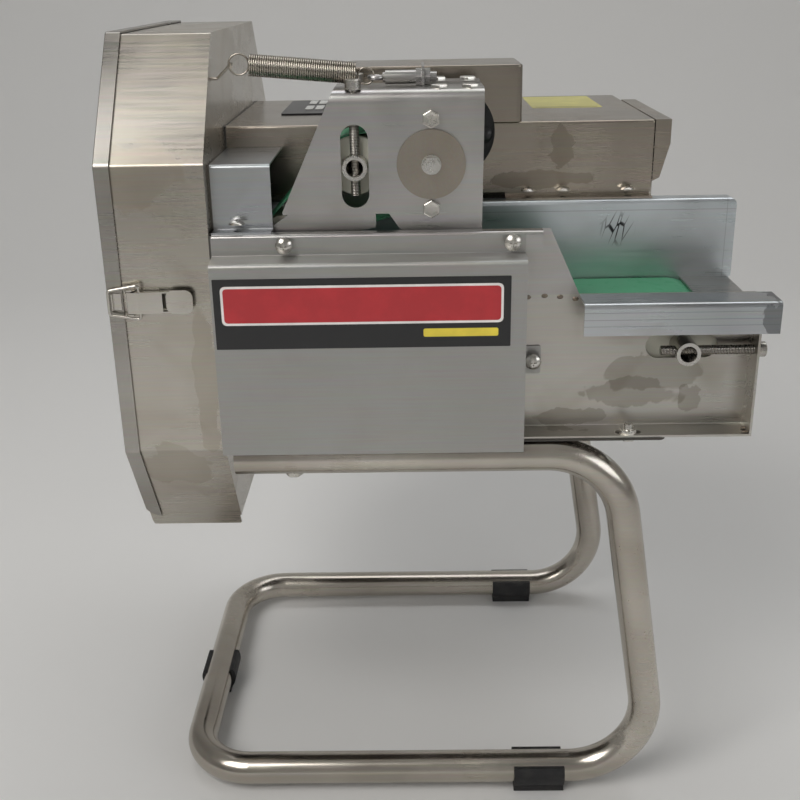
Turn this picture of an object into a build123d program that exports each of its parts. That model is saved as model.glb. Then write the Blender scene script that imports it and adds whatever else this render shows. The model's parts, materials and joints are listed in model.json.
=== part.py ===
"""Belt-fed vegetable cutting machine: a knife rotor in an eight-sided housing, a feed belt, a swinging
press belt above it and a bent tube stand. Millimetres, X along the belt, Y away from the operator, Z up."""
from build123d import *
import os
from math import asin, atan2, cos, degrees, hypot, sin

os.makedirs("parts", exist_ok=True)

# Datums: the wall that the knife housing bolts to, and the outer face of the front side plate
wall_x = -188.5
front_y = -185.8

# Sheet and plate thicknesses
shell_t = 1.5
plate_t = 2.0
lid_gap = 0.6

# Stand
tube_d = 30.0
tube_wall = 1.5
pad_t = 6.0
rail_z = 355.0
stand_front_y = front_y - 16.0
stand_back_y = front_y + 321.0
rail_cut_x = wall_x + 10.0
leg_top_x = wall_x + 340.0
leg_foot_x = wall_x + 392.0
foot_left_x = wall_x - 55.0
leg_bend_r = 70.0
foot_bend_r = 55.0
foot_z = pad_t + tube_d / 2
base_t = 2.0
base_z = rail_z + tube_d / 2
frame_z = base_z + base_t

# Feed frame
frame_right_x = wall_x + 452.5
flange_w = 24.0
guide_z = 493.0
guide_left_x = wall_x + 305.0
guide_right_x = wall_x + 465.0
guide_w = 31.0
guide_lip = 27.0
channel_w = 79.0
back_y = front_y + plate_t + channel_w
channel_z = 550.0
channel_flange_w = 12.0
channel_lip = 15.0
channel_right_x = wall_x + 272.0
guard_z = 556.0
belt_z = 485.0
belt_t = 2.5
belt_edge_gap = 3.0

# Feed rollers
feed_r = 36.0
feed_z = belt_z - belt_t - feed_r
feed_drive_x = wall_x + 42.0
feed_tension_x = wall_x + 394.0
axle_r = 10.0
axle_bore_r = 7.0
axle_out = 24.0
spin_gap = 0.05
wrap_gap = 0.3
feed_travel = 20.0
slot_gap = 1.0

# Press unit, swinging on its drive roller
pivot_x = wall_x + 182.0
pivot_z = 602.0
press_y = front_y + 8.0
press_w = 70.0
press_top_z = 661.0
press_bend_r = 10.0
press_drive_r = 30.0
press_belt_t = 2.0
press_roller_y = press_y + 12.0
press_roller_w = 46.0
nose_x = wall_x + 57.0
nose_z = 544.0
nose_r = 15.0
tension_x = wall_x + 120.0
tension_z = 600.0
tension_r = 24.0
press_travel = 12.0

# Knife housing and rotor
housing_w = 86.0
rotor_y = front_y + 194.0
rotor_z = 483.0
half_w = 204.0
half_top_w = 125.0
housing_top_z = 704.0
shoulder_z = 607.0
waist_z = 359.0
chute_z = 246.0
lid_bottom_z = 269.0
chute_half_w = 139.4
wall_edge_z = 268.0
rotor_r = 196.0
mouth_y = front_y + 10.0
mouth_w = 68.0
mouth_z = 487.0
mouth_h = 65.0
shaft_r = 12.5

# Covers and boxes behind the belt
cover_w = 258.0
cover_front_y = stand_front_y - tube_d / 2 - 2.0
cover_bottom_z = 364.0
cover_shelf_z = 529.0
hood_w = 51.0
hood_screw_x = wall_x + 22.7
hood_front_y = front_y + 5.0
hood_top_z = 604.5
box_front_y = back_y + 18.0
box_back_y = front_y + 312.0
box_right_x = wall_x + 382.0
box_top_z = 623.0
casing_right_x = wall_x + 365.0
tab_x = wall_x + 267.0
tab_z = 436.0

# Drive line behind the belt
chain_y = box_front_y + 6.0
chain_w = 6.0
gear_x = wall_x + 248.0
gear_z = 415.0
gear_wheel_r = 24.0
idler_x = wall_x + 240.0
idler_z = 648.0
idler_wheel_r = 16.0
idler_pin_r = 5.0

# Fasteners
bolt_r = 4.0
bolt_gap = 0.1
nut_flats = 13.0
head_h = 5.3
nut_h = 6.5
screw_hole_r = 3.1


def side_plane(y):
    """Sketch plane seen from the front: sketch X is X, sketch Y is Z, extruding comes forward."""
    return Plane.XZ.offset(-y)


def cross_plane(x):
    """Sketch plane seen from the right: sketch X is Y, sketch Y is Z, extruding goes to +X."""
    return Plane.YZ.offset(x)


def face_plane(x, y, z, outward):
    """Sketch plane on an upright face whose outside looks along Y in the outward sense, 1 or -1."""
    return Plane((x, y, z), x_dir=(1, 0, 0), z_dir=(0, outward, 0))


def save(built, node):
    """Label a finished piece and write it as its own STEP file."""
    built.part.label = node
    export_step(built.part, f"parts/{node}.step")


def block(x_range, y_range, z_range, mode=Mode.ADD):
    """Rectangular block between the given limits, in the open part."""
    with BuildSketch(Plane.XY.offset(z_range[0])) as section:
        with Locations(((x_range[0] + x_range[1]) / 2, (y_range[0] + y_range[1]) / 2)):
            Rectangle(x_range[1] - x_range[0], y_range[1] - y_range[0])
    extrude(section.sketch, amount=z_range[1] - z_range[0], mode=mode)


def round_bar(plane, at, radius, length, bore=0.0, mode=Mode.ADD):
    """Round bar or tube standing on the plane, in the open part."""
    with BuildSketch(plane) as section:
        with Locations(at):
            Circle(radius)
            if bore:
                Circle(bore, mode=Mode.SUBTRACT)
    extrude(section.sketch, amount=length, mode=mode)


def bent_sheet(plane, points, thickness, length, side=Side.RIGHT, bend=3.0, mode=Mode.ADD):
    """Folded sheet: the line through the points, thickened to one side, extruded along the fold."""
    with BuildSketch(plane) as section:
        with BuildLine():
            FilletPolyline(*points, radius=bend)
            offset(amount=thickness, side=side, closed=True)
        make_face()
    extrude(section.sketch, amount=length, mode=mode)


def flat_sheet(plane, points, thickness, corner=0.0, mode=Mode.ADD):
    """Flat plate with the outline through the points, with equal corner radii if one is given."""
    with BuildSketch(plane) as section:
        with BuildLine():
            if corner:
                FilletPolyline(*points, radius=corner, close=True)
            else:
                Polyline(*points, close=True)
        make_face()
    extrude(section.sketch, amount=thickness, mode=mode)


def hex_prism(plane, at, flats, height, bore=0.0, mode=Mode.ADD, turn=0.0):
    """Hexagon of the given width across flats, standing on the plane, in the open part."""
    with BuildSketch(plane) as section:
        with Locations(at):
            RegularPolygon(flats / 2, 6, major_radius=False, rotation=turn)
            if bore:
                Circle(bore, mode=Mode.SUBTRACT)
    extrude(section.sketch, amount=height, mode=mode)


def truss_screw(length):
    """M6 screw with a low domed head, head up on the XY plane, shank down."""
    head_r = 7.0
    dome_h = 3.2
    shank_r = 3.0
    dome_r = (head_r**2 + dome_h**2) / (2 * dome_h)
    with BuildPart() as screw:
        with BuildSketch(Plane.XZ):
            with BuildLine():
                Line((0, 0), (head_r, 0))
                RadiusArc((head_r, 0), (0, dome_h), -dome_r)
                Line((0, dome_h), (0, 0))
            make_face()
        revolve(axis=Axis.Z)
        with BuildSketch():
            Circle(shank_r)
        extrude(amount=-length)
    return screw.part


def loop_run(first, second):
    """Ends of the straight run between two wheels (x, z, radius, way), way 1 is passed clockwise."""
    dx = second[0] - first[0]
    dz = second[1] - first[1]
    turn = asin((first[3] * first[2] - second[3] * second[2]) / hypot(dx, dz))
    heading = atan2(dz, dx) - turn
    return [(x - way * radius * sin(heading), z + way * radius * cos(heading))
            for x, z, radius, way in (first, second)]


def loop_slab(y, wheels, grow, width, mode=Mode.ADD):
    """Slab inside a line wrapped round the wheels and moved outward by grow, in the open part."""
    stops = [(x, z, radius + way * grow, way) for x, z, radius, way in wheels]
    count = len(stops)
    runs = [loop_run(stops[index], stops[(index + 1) % count]) for index in range(count)]
    with BuildSketch(side_plane(y + width)) as slab:
        with BuildLine():
            for index in range(count):
                x, z, radius, way = stops[(index + 1) % count]
                arrive = runs[index][1]
                leave = runs[(index + 1) % count][0]
                from_angle = degrees(atan2(arrive[1] - z, arrive[0] - x))
                to_angle = degrees(atan2(leave[1] - z, leave[0] - x))
                arc = (from_angle - to_angle) % 360 if way > 0 else (to_angle - from_angle) % 360
                Line(runs[index][0], arrive)
                CenterArc((x, z), radius, from_angle, -way * arc)
        make_face()
    extrude(slab.sketch, amount=width, mode=mode)


# Stand: one tube bent six times, open at its two top ends
with BuildPart() as stand_tube:
    with BuildLine() as stand_path:
        FilletPolyline(
            (rail_cut_x, stand_front_y, rail_z),
            (leg_top_x, stand_front_y, rail_z),
            (leg_foot_x, stand_front_y, foot_z),
            (foot_left_x, stand_front_y, foot_z),
            (foot_left_x, stand_back_y, foot_z),
            (leg_foot_x, stand_back_y, foot_z),
            (leg_top_x, stand_back_y, rail_z),
            (rail_cut_x, stand_back_y, rail_z),
            radius=[leg_bend_r, leg_bend_r, foot_bend_r, foot_bend_r, leg_bend_r, leg_bend_r],
        )
    with BuildSketch(Plane(origin=stand_path.line @ 0, z_dir=stand_path.line % 0)):
        Circle(tube_d / 2)
        Circle(tube_d / 2 - tube_wall, mode=Mode.SUBTRACT)
    sweep()
    rail_bolt_x = wall_x + 60.0
    for rail_y in (stand_front_y, stand_back_y):
        round_bar(Plane.XY.offset(rail_z - tube_d), (rail_bolt_x, rail_y), bolt_r + bolt_gap,
                  2 * tube_d, mode=Mode.SUBTRACT)
save(stand_tube, "stand_tube")

# Rubber saddle clips: a C round the tube with a flat sole
clip_wall = 3.5
clip_open_z = 9.0
clip_fit = 0.1
clips = (
    (Plane.YZ.offset(wall_x + 257.0), stand_front_y, 48.0),
    (Plane.YZ.offset(wall_x + 261.0), stand_back_y, 46.0),
    (Plane.XZ.offset(-(front_y + 168.0)), foot_left_x, 38.0),
)
with BuildPart() as foot_clips:
    for clip_plane, centre, clip_len in clips:
        with BuildSketch(clip_plane) as clip_section:
            with Locations((centre, foot_z)):
                Circle(tube_d / 2 + clip_wall)
            with Locations((centre, (foot_z - pad_t) / 2 + pad_t / 2)):
                Rectangle(tube_d * 0.8, foot_z)
            with Locations((centre, foot_z)):
                Circle(tube_d / 2 + clip_fit, mode=Mode.SUBTRACT)
            with Locations((centre, foot_z + clip_open_z + tube_d / 2)):
                Rectangle(2 * tube_d, tube_d, mode=Mode.SUBTRACT)
        extrude(clip_section.sketch, amount=clip_len)
    sole_edges = foot_clips.edges().group_by(Axis.Z)[0]
    chamfer(sole_edges, length=0.8)
save(foot_clips, "foot_clips")

# Base plate across both top rails
base_front_y = front_y - 25.0
base_back_y = front_y + 333.0
base_right_x = wall_x + 380.0
free_bolt_x = wall_x + 349.0
bolt_slot_len = 22.0
with BuildPart() as base_plate:
    block((wall_x + 6.0, base_right_x), (base_front_y, base_back_y), (base_z, frame_z))
    fillet(base_plate.edges().filter_by(Axis.Z), radius=6.0)
    for bolt_x in (rail_bolt_x, free_bolt_x):
        for rail_y in (stand_front_y, stand_back_y):
            round_bar(Plane.XY.offset(base_z), (bolt_x, rail_y), bolt_r + bolt_gap, base_t,
                      mode=Mode.SUBTRACT)
save(base_plate, "base_plate")


# Front side plate: wall, bottom flange and right end flange folded out
slot_half = axle_r + slot_gap
slot_left_x = feed_tension_x - feed_travel
slot_right_x = feed_tension_x + 19.0
hub_hole_r = 26.0
with BuildPart() as frame_front_plate:
    bent_sheet(cross_plane(wall_x + plate_t),
               [(front_y - flange_w, frame_z), (front_y + plate_t, frame_z), (front_y + plate_t, guide_z)],
               plate_t, frame_right_x - wall_x - plate_t, Side.LEFT)
    block((frame_right_x - plate_t, frame_right_x), (front_y - flange_w, front_y + 0.5),
          (frame_z + 0.5, guide_z - guide_lip - 0.5))
    with BuildSketch(side_plane(front_y + 5.0)) as axle_slot:
        with Locations(((slot_left_x + slot_right_x) / 2, feed_z)):
            SlotCenterToCenter(slot_right_x - slot_left_x, 2 * slot_half)
        with Locations((feed_drive_x, feed_z)):
            Circle(hub_hole_r)
    extrude(axle_slot.sketch, amount=10.0, mode=Mode.SUBTRACT)
    rod_y = front_y - 12.0
    round_bar(cross_plane(frame_right_x - 2 * plate_t), (rod_y, feed_z), bolt_r + bolt_gap, 10.0,
              mode=Mode.SUBTRACT)
    with BuildSketch(Plane.XY.offset(frame_z - 1.0)) as flange_slots:
        with Locations((rail_bolt_x, stand_front_y), (free_bolt_x, stand_front_y)):
            SlotOverall(bolt_slot_len, 2 * (bolt_r + bolt_gap))
    extrude(flange_slots.sketch, amount=2 * plate_t, mode=Mode.SUBTRACT)
    round_bar(side_plane(front_y + 5.0), (tab_x, tab_z), screw_hole_r, 10.0, mode=Mode.SUBTRACT)
save(frame_front_plate, "frame_front_plate")

# Guide rail: hand rest folded out along the front plate, closed at its right end
with BuildPart() as guide_rail:
    bent_sheet(cross_plane(guide_left_x),
               [(front_y, guide_z), (front_y - guide_w, guide_z), (front_y - guide_w, guide_z - guide_lip)],
               plate_t, guide_right_x - guide_left_x, Side.LEFT, bend=4.0)
    with BuildSketch(cross_plane(guide_right_x - plate_t)) as guide_end:
        with BuildLine():
            Polyline((front_y - guide_w + 1.0, guide_z - 1.0), (front_y, guide_z - 1.0),
                     (front_y, guide_z - guide_lip * 0.5), (front_y - guide_w + 1.0, guide_z - guide_lip),
                     close=True)
        make_face()
    extrude(guide_end.sketch, amount=plate_t)
save(guide_rail, "guide_rail")

# Front wall of the feed channel, with its top flange and lip, cut to a slope where food goes in
wall_slope = ((wall_x + 279.0, channel_z), (guide_left_x, guide_z))
with BuildPart() as channel_wall:
    bent_sheet(cross_plane(wall_x + plate_t),
               [(front_y + plate_t, guide_z), (front_y + plate_t, channel_z),
                (front_y - channel_flange_w, channel_z),
                (front_y - channel_flange_w, channel_z - channel_lip)],
               plate_t, guide_left_x - wall_x - plate_t, Side.LEFT, bend=3.5)
    with BuildSketch(side_plane(front_y + 10.0)) as slope_cut:
        with BuildLine():
            Polyline(wall_slope[0], wall_slope[1], (guide_left_x + 20.0, guide_z - 10.0),
                     (guide_left_x + 20.0, channel_z + 10.0), (wall_slope[0][0], channel_z + 10.0),
                     close=True)
        make_face()
    extrude(slope_cut.sketch, amount=40.0, mode=Mode.SUBTRACT)
    block((channel_right_x, guide_left_x + 20.0), (front_y - 2 * channel_flange_w, front_y - 0.01),
          (guide_z - 5.0, channel_z + 5.0), mode=Mode.SUBTRACT)
    lip_hole_z = channel_z - channel_lip / 2
    for screw_x in (wall_x + 62.0, wall_x + 247.0):
        round_bar(side_plane(front_y - channel_flange_w + 5.0), (screw_x, lip_hole_z), screw_hole_r, 10.0,
                  mode=Mode.SUBTRACT)
    round_bar(Plane.XY.offset(channel_z - 5.0), (hood_screw_x, front_y - 3.0), screw_hole_r, 10.0,
              mode=Mode.SUBTRACT)
save(channel_wall, "channel_wall")

# Back wall of the channel: bottom and top flanges and a right edge turned back
guard_flange_w = 16.0
guard_right_x = wall_x + 454.0
guard_turn_w = 12.0
guard_corner_r = 6.0
with BuildPart() as frame_back_plate:
    bent_sheet(cross_plane(wall_x + plate_t),
               [(back_y + 24.0, frame_z), (back_y, frame_z), (back_y, guard_z),
                (back_y + guard_flange_w, guard_z)],
               plate_t, guard_right_x - wall_x - plate_t, Side.RIGHT, bend=4.0)
    block((guard_right_x - plate_t, guard_right_x), (back_y + 0.5, back_y + guard_turn_w),
          (belt_z, guard_z - 1.0))
    block((frame_right_x - plate_t, frame_right_x), (back_y + 0.5, back_y + flange_w),
          (frame_z + 0.5, belt_z - 20.0))
    block((frame_right_x, guard_right_x + 1.0), (back_y - 1.0, back_y + 50.0), (frame_z - 1.0, belt_z),
          mode=Mode.SUBTRACT)
    with BuildSketch(side_plane(back_y + 50.0)) as guard_corner:
        with Locations((guard_right_x, guard_z)):
            Rectangle(2 * guard_corner_r, 2 * guard_corner_r)
        with Locations((guard_right_x - guard_corner_r, guard_z - guard_corner_r)):
            Circle(guard_corner_r, mode=Mode.SUBTRACT)
    extrude(guard_corner.sketch, amount=60.0, mode=Mode.SUBTRACT)
    with BuildSketch(side_plane(back_y + 5.0)) as guard_slot:
        with Locations(((slot_left_x + slot_right_x) / 2, feed_z)):
            SlotCenterToCenter(slot_right_x - slot_left_x, 2 * slot_half)
        with Locations((feed_drive_x, feed_z)):
            Circle(hub_hole_r)
    extrude(guard_slot.sketch, amount=10.0, mode=Mode.SUBTRACT)
    back_rod_y = back_y + plate_t + 12.0
    box_screw_x = (wall_x + 270.0, wall_x + 301.4, wall_x + 358.9)
    box_screw_y = box_front_y - 7.5
    for screw_x in box_screw_x:
        round_bar(Plane.XY.offset(guard_z - 5.0), (screw_x, box_screw_y), screw_hole_r, 10.0,
                  mode=Mode.SUBTRACT)
    round_bar(cross_plane(frame_right_x - 2 * plate_t), (back_rod_y, feed_z), bolt_r + bolt_gap, 10.0,
              mode=Mode.SUBTRACT)
save(frame_back_plate, "frame_back_plate")

# Table plate past the end of the belt
table_left_x = feed_tension_x + 14.0
with BuildPart() as end_table:
    bent_sheet(side_plane(back_y),
               [(table_left_x, belt_z), (frame_right_x, belt_z), (frame_right_x, belt_z - 16.0)],
               plate_t, channel_w, Side.RIGHT)
save(end_table, "end_table")

# Slider bed under the carrying run of the belt, with legs folded down to both side plates
bed_z = belt_z - belt_t - wrap_gap
bed_left_x = feed_drive_x + 30.0
bed_right_x = feed_tension_x - feed_travel - 14.0
bed_leg = 22.0
with BuildPart() as belt_bed:
    bent_sheet(cross_plane(bed_left_x),
               [(front_y + plate_t, bed_z - bed_leg), (front_y + plate_t, bed_z), (back_y, bed_z),
                (back_y, bed_z - bed_leg)],
               plate_t, bed_right_x - bed_left_x, Side.RIGHT, bend=3.0)
save(belt_bed, "belt_bed")

# Feed belt round its two rollers
belt_w = channel_w - 2 * belt_edge_gap
with BuildPart() as feed_belt:
    feed_wheels = ((feed_drive_x, feed_z, feed_r, 1), (feed_tension_x, feed_z, feed_r, 1))
    loop_slab(front_y + plate_t + belt_edge_gap, feed_wheels, belt_t, belt_w)
    loop_slab(front_y + plate_t + belt_edge_gap, feed_wheels, wrap_gap, belt_w, Mode.SUBTRACT)
save(feed_belt, "feed_belt")

# Bearings of the feed drive shaft: a flanged ring in each side plate
bearing_w = 12.0
oval_t = 3.0
oval_r = 28.0
oval_bolt_r = 36.0


def oval_outline():
    """Two-bolt flange outline round the origin, tabs up and down, in the open sketch."""
    Circle(oval_r)
    with BuildLine():
        for along in (-oval_bolt_r, oval_bolt_r):
            CenterArc((0, along), 9.5, 0, 360)
        CenterArc((0, 0), 15.0, 0, 360)
    make_hull()


with BuildPart() as feed_bearings:
    for face_y, outward in ((front_y, -1), (back_y + plate_t, 1)):
        with BuildSketch(face_plane(feed_drive_x, face_y, feed_z, outward)) as oval:
            oval_outline()
            Circle(shaft_r + spin_gap, mode=Mode.SUBTRACT)
            with Locations((0, oval_bolt_r), (0, -oval_bolt_r)):
                Circle(bolt_r + bolt_gap, mode=Mode.SUBTRACT)
        extrude(oval.sketch, amount=oval_t)
        with BuildSketch(face_plane(feed_drive_x, face_y, feed_z, -outward)) as ring:
            Circle(hub_hole_r - 0.5)
            Circle(shaft_r + spin_gap, mode=Mode.SUBTRACT)
        extrude(ring.sketch, amount=plate_t)
save(feed_bearings, "feed_bearings")

# Hex bolts of the frame: through the base plate and in the feed shaft's bearing flanges
with BuildPart() as frame_bolts:
    for rail_y in (stand_front_y, stand_back_y):
        for bolt_x, under_z in ((rail_bolt_x, rail_z - tube_d / 2), (free_bolt_x, base_z)):
            shank_top = frame_z + plate_t + nut_h + 5.0
            hex_prism(Plane.XY.offset(under_z - head_h), (bolt_x, rail_y), nut_flats, head_h, turn=30)
            round_bar(Plane.XY.offset(under_z), (bolt_x, rail_y), bolt_r, shank_top - under_z)
            hex_prism(Plane.XY.offset(frame_z + plate_t), (bolt_x, rail_y), nut_flats, nut_h, turn=30)
    for face_y, outward in ((front_y - oval_t, -1), (back_y + plate_t + oval_t, 1)):
        for along in (-oval_bolt_r, oval_bolt_r):
            head_plane = face_plane(feed_drive_x, face_y, feed_z + along, outward)
            hex_prism(head_plane, (0, 0), nut_flats, head_h)
            round_bar(head_plane, (0, 0), bolt_r, -oval_t)
save(frame_bolts, "frame_bolts")

# Casing round the drives: back wall, right wall and flanges down to the base plate
casing_z = guard_z
casing_edge_y = back_y + plate_t + axle_out + 5.0
with BuildPart() as body_casing:
    bent_sheet(Plane.XY.offset(frame_z),
               [(wall_x + plate_t, box_back_y), (casing_right_x, box_back_y),
                (casing_right_x, casing_edge_y)],
               shell_t, casing_z - frame_z, Side.RIGHT, bend=6.0)
    block((wall_x + 8.0, casing_right_x - 6.0), (box_back_y - 0.2, base_back_y - 2.0),
          (frame_z, frame_z + plate_t))
    with BuildSketch(side_plane(box_back_y + 2.0)) as vents:
        with Locations((wall_x + 190.0, 470.0)):
            with GridLocations(72.0, 14.0, 3, 6):
                SlotOverall(52.0, 5.0)
    extrude(vents.sketch, amount=6.0, mode=Mode.SUBTRACT)
    for bolt_x in (rail_bolt_x, free_bolt_x):
        round_bar(Plane.XY.offset(frame_z - 1.0), (bolt_x, stand_back_y), bolt_r + bolt_gap, 5.0,
                  mode=Mode.SUBTRACT)
save(body_casing, "body_casing")

# Front cover: shallow box over the front bearing, hung on the channel lip
cover_back_y = front_y - channel_flange_w
cover_strip_z = channel_z - 2.0
cover_left_x = wall_x + plate_t
cover_right_x = wall_x + cover_w
with BuildPart() as front_cover:
    bent_sheet(cross_plane(cover_left_x),
               [(cover_back_y, cover_strip_z), (cover_back_y, cover_shelf_z + 3.0),
                (cover_front_y + shell_t, cover_shelf_z), (cover_front_y + shell_t, cover_bottom_z)],
               shell_t, cover_right_x - cover_left_x, Side.RIGHT, bend=2.0)
    for end_x in (cover_left_x, cover_right_x - shell_t):
        with BuildSketch(cross_plane(end_x)) as cover_end:
            with BuildLine():
                Polyline((cover_front_y + 0.7, cover_shelf_z - 0.7), (cover_back_y, cover_shelf_z + 2.0),
                         (cover_back_y, cover_shelf_z), (front_y - 0.05, cover_shelf_z),
                         (front_y - 0.05, frame_z + 20.0), (front_y - flange_w - 1.0, frame_z + 20.0),
                         (front_y - flange_w - 1.0, frame_z + 3.0), (cover_front_y + 0.7, frame_z + 3.0),
                         close=True)
            make_face()
        extrude(cover_end.sketch, amount=shell_t)
    tab_w = 16.0
    with BuildSketch(side_plane(front_y - 0.05)) as cover_tab:
        with Locations((cover_right_x + tab_w / 2 - shell_t, tab_z)):
            RectangleRounded(tab_w + 2 * shell_t, 25.0, 2.0)
    extrude(cover_tab.sketch, amount=shell_t)
    round_bar(side_plane(front_y + 2.0), (tab_x, tab_z), screw_hole_r, 6.0, mode=Mode.SUBTRACT)
    for screw_x in (wall_x + 62.0, wall_x + 247.0):
        round_bar(side_plane(cover_back_y + 2.0), (screw_x, lip_hole_z), screw_hole_r, 6.0,
                  mode=Mode.SUBTRACT)
save(front_cover, "front_cover")

# Bulkhead: the wall between the knife housing and the feed frame
with BuildPart() as bulkhead:
    flat_sheet(cross_plane(wall_x),
               [(front_y - channel_flange_w, frame_z), (front_y - channel_flange_w, channel_z),
                (hood_front_y, channel_z), (hood_front_y, hood_top_z), (box_front_y, hood_top_z),
                (box_front_y, box_top_z), (box_back_y, box_top_z), (box_back_y, frame_z)],
               plate_t)
    block((wall_x - 1.0, wall_x + 5.0), (mouth_y, mouth_y + mouth_w), (mouth_z, mouth_z + mouth_h),
          mode=Mode.SUBTRACT)
    round_bar(cross_plane(wall_x - 1.0), (rotor_y, rotor_z), 30.0, 5.0, mode=Mode.SUBTRACT)
save(bulkhead, "bulkhead")

# Knife housing: eight-sided drum of folded sheet, open to the left and below
housing_profile = [
    (rotor_y - half_top_w, housing_top_z), (rotor_y + half_top_w, housing_top_z),
    (rotor_y + half_w, shoulder_z), (rotor_y + half_w, waist_z),
    (rotor_y + chute_half_w, chute_z), (rotor_y - chute_half_w, chute_z),
    (rotor_y - half_w, waist_z), (rotor_y - half_w, shoulder_z),
]
chute_corner = 13.0
chute_round = 16.0
drum_x = wall_x - housing_w
with BuildPart() as knife_housing:
    with BuildSketch(cross_plane(wall_x - housing_w)) as drum_outside:
        with BuildLine():
            Polyline(*housing_profile, close=True)
        make_face()
        fillet(drum_outside.vertices(), radius=4.0)
    extrude(drum_outside.sketch, amount=housing_w)
    with BuildSketch(cross_plane(wall_x - housing_w)) as drum_inside:
        with BuildLine():
            Polyline(*housing_profile, close=True)
        make_face()
        fillet(drum_inside.vertices(), radius=4.0)
        offset(amount=-shell_t)
    extrude(drum_inside.sketch, amount=housing_w - shell_t, mode=Mode.SUBTRACT)
    with BuildSketch(cross_plane(wall_x - housing_w)) as chute_opening:
        with BuildLine():
            Polyline((rotor_y - chute_half_w + 1.0, chute_z - 5.0),
                     (rotor_y + chute_half_w - 1.0, chute_z - 5.0),
                     (rotor_y + chute_half_w + 6.0, chute_z + 10.0),
                     (rotor_y - chute_half_w - 6.0, chute_z + 10.0), close=True)
        make_face()
    extrude(chute_opening.sketch, amount=housing_w, mode=Mode.SUBTRACT)
    block((wall_x - shell_t - 0.01, wall_x + 1.0), (rotor_y - half_w, rotor_y + half_w),
          (chute_z - 5.0, wall_edge_z), mode=Mode.SUBTRACT)
    with BuildSketch(side_plane(rotor_y + half_w)) as lower_corners:
        with BuildLine():
            Polyline((wall_x - 11.0, chute_z), (wall_x + 1.0, chute_z + chute_corner + 1.5),
                     (wall_x + 1.0, chute_z - 5.0), (wall_x - 11.0, chute_z - 5.0), close=True)
        make_face()
        with BuildLine():
            Line((drum_x - 1.0, chute_z - 5.0), (drum_x + chute_round, chute_z - 5.0))
            Line((drum_x + chute_round, chute_z - 5.0), (drum_x + chute_round, chute_z))
            RadiusArc((drum_x + chute_round, chute_z), (drum_x, chute_z + chute_round), chute_round)
            Line((drum_x, chute_z + chute_round), (drum_x - 1.0, chute_z + chute_round))
            Line((drum_x - 1.0, chute_z + chute_round), (drum_x - 1.0, chute_z - 5.0))
        make_face()
    extrude(lower_corners.sketch, amount=2 * half_w, mode=Mode.SUBTRACT)
    block((wall_x - 3.0, wall_x + 1.0), (mouth_y, mouth_y + mouth_w), (mouth_z, mouth_z + mouth_h),
          mode=Mode.SUBTRACT)
    round_bar(cross_plane(wall_x - 3.0), (rotor_y, rotor_z), 30.0, 5.0, mode=Mode.SUBTRACT)
    hook_y = front_y + 52.0
    hook_z = 668.0
    round_bar(cross_plane(wall_x - 3.0), (hook_y, hook_z), 2.2, 5.0, mode=Mode.SUBTRACT)
save(knife_housing, "knife_housing")

# End cover: eight-sided lid whose folded lip goes over the housing, hinged at the back
lid_lip = 13.0
lid_x = wall_x - housing_w - 2.0
lid_out = lid_gap + shell_t
with BuildPart() as end_cover:
    with BuildSketch(cross_plane(lid_x)) as lid_outside:
        with BuildLine():
            Polyline(*housing_profile, close=True)
        make_face()
        fillet(lid_outside.vertices(), radius=4.0)
        offset(amount=lid_out)
    extrude(lid_outside.sketch, amount=lid_lip)
    fillet(end_cover.faces().sort_by(Axis.X)[0].edges(), radius=1.2)
    with BuildSketch(cross_plane(lid_x + shell_t)) as lid_inside:
        with BuildLine():
            Polyline(*housing_profile, close=True)
        make_face()
        fillet(lid_inside.vertices(), radius=4.0)
        offset(amount=lid_gap)
    extrude(lid_inside.sketch, amount=lid_lip, mode=Mode.SUBTRACT)
    with BuildSketch(side_plane(rotor_y + half_w + 10.0)) as lid_corner:
        with BuildLine():
            Line((lid_x - 1.0, chute_z - 10.0), (lid_x + lid_lip + 1.0, chute_z - 10.0))
            Line((lid_x + lid_lip + 1.0, chute_z - 10.0), (lid_x + lid_lip + 1.0, lid_bottom_z))
            RadiusArc((lid_x + lid_lip + 1.0, lid_bottom_z), (lid_x - 1.0, lid_bottom_z + 16.0), 20.0)
            Line((lid_x - 1.0, lid_bottom_z + 16.0), (lid_x - 1.0, chute_z - 10.0))
        make_face()
    extrude(lid_corner.sketch, amount=2 * half_w + 20.0, mode=Mode.SUBTRACT)
save(end_cover, "end_cover")

# Hinge at the back of the lid: a leaf on each side of one pin
hinge_x = lid_x + lid_lip + 3.0
hinge_y = rotor_y + half_w + lid_out + 3.0
hinge_r = 3.0
pin_r = 1.5
leaf_t = 1.5
knuckle_len = 22.0
hinge_bottom_z = 395.0
knuckles = 8
with BuildPart() as hinge_fixed:
    block((hinge_x + 0.5, hinge_x + 32.0), (rotor_y + half_w, rotor_y + half_w + leaf_t),
          (hinge_bottom_z, hinge_bottom_z + knuckles * knuckle_len))
    for index in range(0, knuckles, 2):
        knuckle_z = hinge_bottom_z + index * knuckle_len
        round_bar(Plane.XY.offset(knuckle_z), (hinge_x, hinge_y), hinge_r, knuckle_len)
        block((hinge_x + 0.5, hinge_x + 2.8), (rotor_y + half_w, hinge_y),
              (knuckle_z, knuckle_z + knuckle_len))
    round_bar(Plane.XY.offset(hinge_bottom_z - 1.0), (hinge_x, hinge_y), pin_r + spin_gap,
              knuckles * knuckle_len + 2.0, mode=Mode.SUBTRACT)
save(hinge_fixed, "hinge_fixed")

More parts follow.
